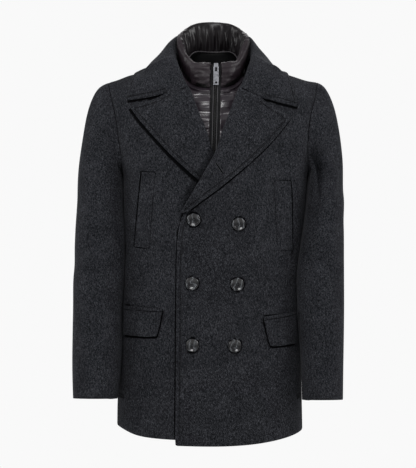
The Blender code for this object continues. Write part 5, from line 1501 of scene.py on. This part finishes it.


# The slit: a dark matt tube that is painted shade inside the cut
rows["lapel_left"].append(swept("lapel_buttonhole_slit_shade", slit_line, SLIT_RADIUS, slit_shade, "wool"))
for side in WAY:
    heights = np.arange(zip_top - CORD_UNDER_TOP, zip_low + CORD_STEP, -CORD_STEP)
    line = [on_tape(side, float(z), CORD_OFF)[0] for z in heights]
    line = [place for place in line if place is not None]
    swept(f"{side}_tape_cord", line, CORD_RADIUS, tape_cord, "tape")
    print(side, "cord points:", len(line))

# %% [markdown]
# Inside the neck, where the gathered nylon meets the lining, a narrow bound edge covers the
# seam. It follows the upper edge of the neck piece's back.

# %% Bound edge
BINDING_RADIUS = 0.0010
BINDING_PROUD = 0.0026
BINDING_STEP = 0.003
NECK_SEAM_LOW = -0.01


def to_the_neck(place):
    return Vector((0.008 - place.x, -0.01 - place.y, 0.0)).normalized()


seam_rows = edge_rows("insert_back", to_the_neck, lambda place: place.z > NECK_SEAM_LOW, 0.0)
seam = max((resampled(row, BINDING_STEP)[0] for row in seam_rows), key=len)
proud = [Vector(place) + to_the_neck(Vector(place)) * BINDING_PROUD for place in seam]
swept("neck_seam_binding", proud, BINDING_RADIUS, bound_edge, "nylon", out=UP)
print("bound edge from", np.round(seam[0], 3), "to", np.round(seam[-1], 3))

# %% [markdown]
# ## Slider and pull tab
# Both are cast metal with a satin plating. Their solids already have the right shape, so they
# stay and only take the finish: the tab is bright, but for the walls of its window and eye, and
# so is the top of the slider; those walls and the rest of the slider take a darker copy of the
# plating, which is painted shade.

# %% Plated metal
def plated(name, low, high, roughness):
    material, nodes, links, shader = new_material(name)
    point = nodes.new("ShaderNodeTexCoord").outputs["Object"]
    wear = noise_node(nodes, links, point, 420, 3, 0.6)
    ramp = ramp_node(nodes, [(0.35, low), (0.65, high)])
    links.new(wear, ramp.inputs["Fac"])
    links.new(ramp.outputs["Color"], shader.inputs["Base Color"])
    worn = ramp_node(nodes, [(0.3, roughness * 0.8), (0.7, roughness * 1.25)])
    links.new(wear, worn.inputs["Fac"])
    links.new(worn.outputs["Color"], shader.inputs["Roughness"])
    shader.inputs["Metallic"].default_value = 1.0
    bump = nodes.new("ShaderNodeBump")
    bump.inputs["Strength"].default_value = 0.3
    bump.inputs["Distance"].default_value = 0.00008
    links.new(wear, bump.inputs["Height"])
    links.new(bump.outputs["Normal"], shader.inputs["Normal"])
    return material


satin_plate = plated("satin plate", (0.18, 0.185, 0.20), (0.27, 0.275, 0.295), 0.36)
plating_in_shade = plated("plating in painted shade", (0.012, 0.012, 0.014), (0.030, 0.030, 0.034), 0.35)
TAB_SIDE = 0.0046
TAB_RIM = 0.001
tab_low, tab_high = (np.array(corner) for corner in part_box("zip_pull_tab"))
tab_middle = (tab_low + tab_high) / 2
# Above this height the slider takes the plain plating; below it, the darker copy as painted shade
lit_from = tab_high[2] - 0.0005


def in_a_hole(place):
    """Whether a face's middle is on the inside of the tab's window or eye."""
    across = abs(place.x - tab_middle[0]) < TAB_SIDE
    return across and tab_low[2] + TAB_RIM < place.z < tab_high[2] - TAB_RIM


for node in ("zip_slider", "zip_pull_tab"):
    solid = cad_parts[node]
    solid.data.materials.clear()
    solid.data.materials.append(satin_plate)
    solid.data.materials.append(plating_in_shade)
    shaded_faces = 0
    # Faces in painted shade take the darker plating: the tab's window and eye walls, the slider below the
    # tab's top
    for face in solid.data.polygons:
        if node == "zip_slider":
            dark = face.center.z < lit_from
        else:
            dark = abs(face.normal.y) < 0.5 and in_a_hole(face.center)
        face.material_index = int(dark)
        shaded_faces += int(dark)
    print(node, "dark faces", shaded_faces)

# %% [markdown]
# ## Buttons
# The buttons are turned from dark horn-like resin: a rounded rim, a shallow dish inside it and
# four holes, through which thread is sewn in a cross. Clouded streaks run through the resin,
# other ones in each button, and the polish gives each its own bright patch.

# %% Horn
def horn():
    material, nodes, links, shader = new_material("polished horn")
    point = nodes.new("ShaderNodeTexCoord").outputs["Object"]
    bend = nodes.new("ShaderNodeTexWave")
    bend.inputs["Scale"].default_value = 26
    bend.inputs["Distortion"].default_value = 9
    bend.inputs["Detail"].default_value = 3
    bend.inputs["Detail Scale"].default_value = 1.6
    links.new(point, bend.inputs["Vector"])
    specks = noise_node(nodes, links, point, 500, 3, 0.6)
    mixed = weighted_sum(nodes, links, [(bend.outputs["Fac"], 0.8), (specks, 0.35)], -0.1)
    ramp = ramp_node(nodes, [(0.10, (0.004, 0.004, 0.005)), (0.55, (0.010, 0.011, 0.012)),
                             (0.82, (0.026, 0.028, 0.031)), (0.97, (0.16, 0.17, 0.18))])
    links.new(mixed, ramp.inputs["Fac"])
    links.new(ramp.outputs["Color"], shader.inputs["Base Color"])
    shader.inputs["Roughness"].default_value = 0.20
    shader.inputs["Specular IOR Level"].default_value = 0.35
    shader.inputs["Coat Weight"].default_value = 0.20
    shader.inputs["Coat Roughness"].default_value = 0.05
    return material


polished_horn = horn()

# %% [markdown]
# The disc is turned as on a lathe: half of its outline is drawn once and spun round the middle.
# Four boolean cuts drill the holes. The disc then goes to its solid's place on the coat, turned
# by an angle of its own.

# %% Turned buttons
BUTTON_PROFILE = [(0.0, 0.0022), (0.0045, 0.0022), (0.0076, 0.0026), (0.0094, 0.0035), (0.0108, 0.0045),
                  (0.0120, 0.0046), (0.0131, 0.0038), (0.0135, 0.0026), (0.0131, 0.0012), (0.0116, 0.0002),
                  (0.0080, 0.0), (0.0, 0.0)]
HOLE_OUT = 0.0024
HOLE_RADIUS = 0.00085
BUTTON_SPIN = 1.1
SHARP_FROM = math.radians(38)


def hole_angle(k):
    return math.pi / 4 + k * math.pi / 2


def turned_button(name, centre, out, spin):
    """A lathe-turned disc with four drilled holes, its back at centre and its face along out."""
    shape = bmesh.new()
    verts = [shape.verts.new((r, 0, h)) for r, h in BUTTON_PROFILE]
    edges = [shape.edges.new(pair) for pair in zip(verts, verts[1:])]
    bmesh.ops.spin(shape, geom=verts + edges, cent=(0, 0, 0), axis=(0, 0, 1),
                   angle=2 * math.pi, steps=64)
    bmesh.ops.remove_doubles(shape, verts=shape.verts, dist=1e-6)
    bmesh.ops.recalc_face_normals(shape, faces=shape.faces)
    mesh = bpy.data.meshes.new(name)
    shape.to_mesh(mesh)
    shape.free()
    disc = bpy.data.objects.new(name, mesh)
    scene.collection.objects.link(disc)
    drills = []
    for k in range(4):
        place = (HOLE_OUT * math.cos(hole_angle(k)), HOLE_OUT * math.sin(hole_angle(k)), 0)
        bpy.ops.mesh.primitive_cylinder_add(vertices=20, radius=HOLE_RADIUS, depth=0.02, location=place)
        drills.append(bpy.context.object)
        cut = disc.modifiers.new("drilling", "BOOLEAN")
        cut.object = drills[-1]
        cut.solver = "EXACT"
    graph = bpy.context.evaluated_depsgraph_get()
    drilled = bpy.data.meshes.new_from_object(disc.evaluated_get(graph))
    for drill in drills:
        bpy.data.objects.remove(drill)
    drilled.name = name
    drilled.materials.clear()
    drilled.materials.append(polished_horn)
    drilled.shade_smooth()
    drilled.set_sharp_from_angle(angle=SHARP_FROM)
    bpy.data.objects.remove(disc)
    across = out.cross(UP).normalized()
    stand = Matrix((across, out.cross(across) * -1, out)).transposed()
    stand = stand @ Matrix.Rotation(spin, 3, "Z")
    drilled.transform(Matrix.Translation(centre) @ stand.to_4x4())
    button = bpy.data.objects.new(name, drilled)
    scene.collection.objects.link(button)
    return button


def axis_of(node):
    """The middle of a button's back and the way its face looks, from its solid."""
    points = points_of(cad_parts[node].data)
    middle = points.mean(axis=0)
    out = np.linalg.svd(points - middle, full_matrices=False)[2][2]
    out = out if out[1] < 0 else -out
    depths = (points - middle) @ out
    return Vector(middle + out * depths.min()), Vector(out)


for number in BUTTONS:
    back, face = axis_of(f"button_{number}")
    button = turned_button(f"coat_button_{number}", back, face, number * BUTTON_SPIN)
    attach(button, "coat")
    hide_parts(f"button_{number}")
print("buttons turned:", len(BUTTONS), "radius", max(r for r, _ in BUTTON_PROFILE))

# %% [markdown]
# The thread goes through the four holes in a cross, in pairs of strands that lie side by side in
# the dish.

# %% Thread in the buttons
STRAND_HIGH = 0.0023
STRAND_OFF = 0.0003
STRAND_RADIUS = 0.00032


def button_cross(back, face, spin):
    """Points and faces of the four strands on one button."""
    across = face.cross(UP).normalized()
    rise = across.cross(face)
    bars, bar_faces = [], []
    for pair in ((0, 2), (1, 3)):
        turns = [hole_angle(k) + spin for k in pair]
        ends = [back + face * STRAND_HIGH + (across * math.cos(turn) + rise * math.sin(turn)) * HOLE_OUT
                for turn in turns]
        for off in (-STRAND_OFF, STRAND_OFF):
            side = (ends[1] - ends[0]).cross(face).normalized() * off
            join_on(bars, bar_faces, thread_bar(ends[0] + side, ends[1] + side, face, STRAND_RADIUS))
    return bars, bar_faces


for number in BUTTONS:
    cross = button_cross(*axis_of(f"button_{number}"), number * BUTTON_SPIN)
    mesh_piece(f"button_thread_{number}", *cross, thread, "wool")
print("buttons sewn on:", len(BUTTONS))
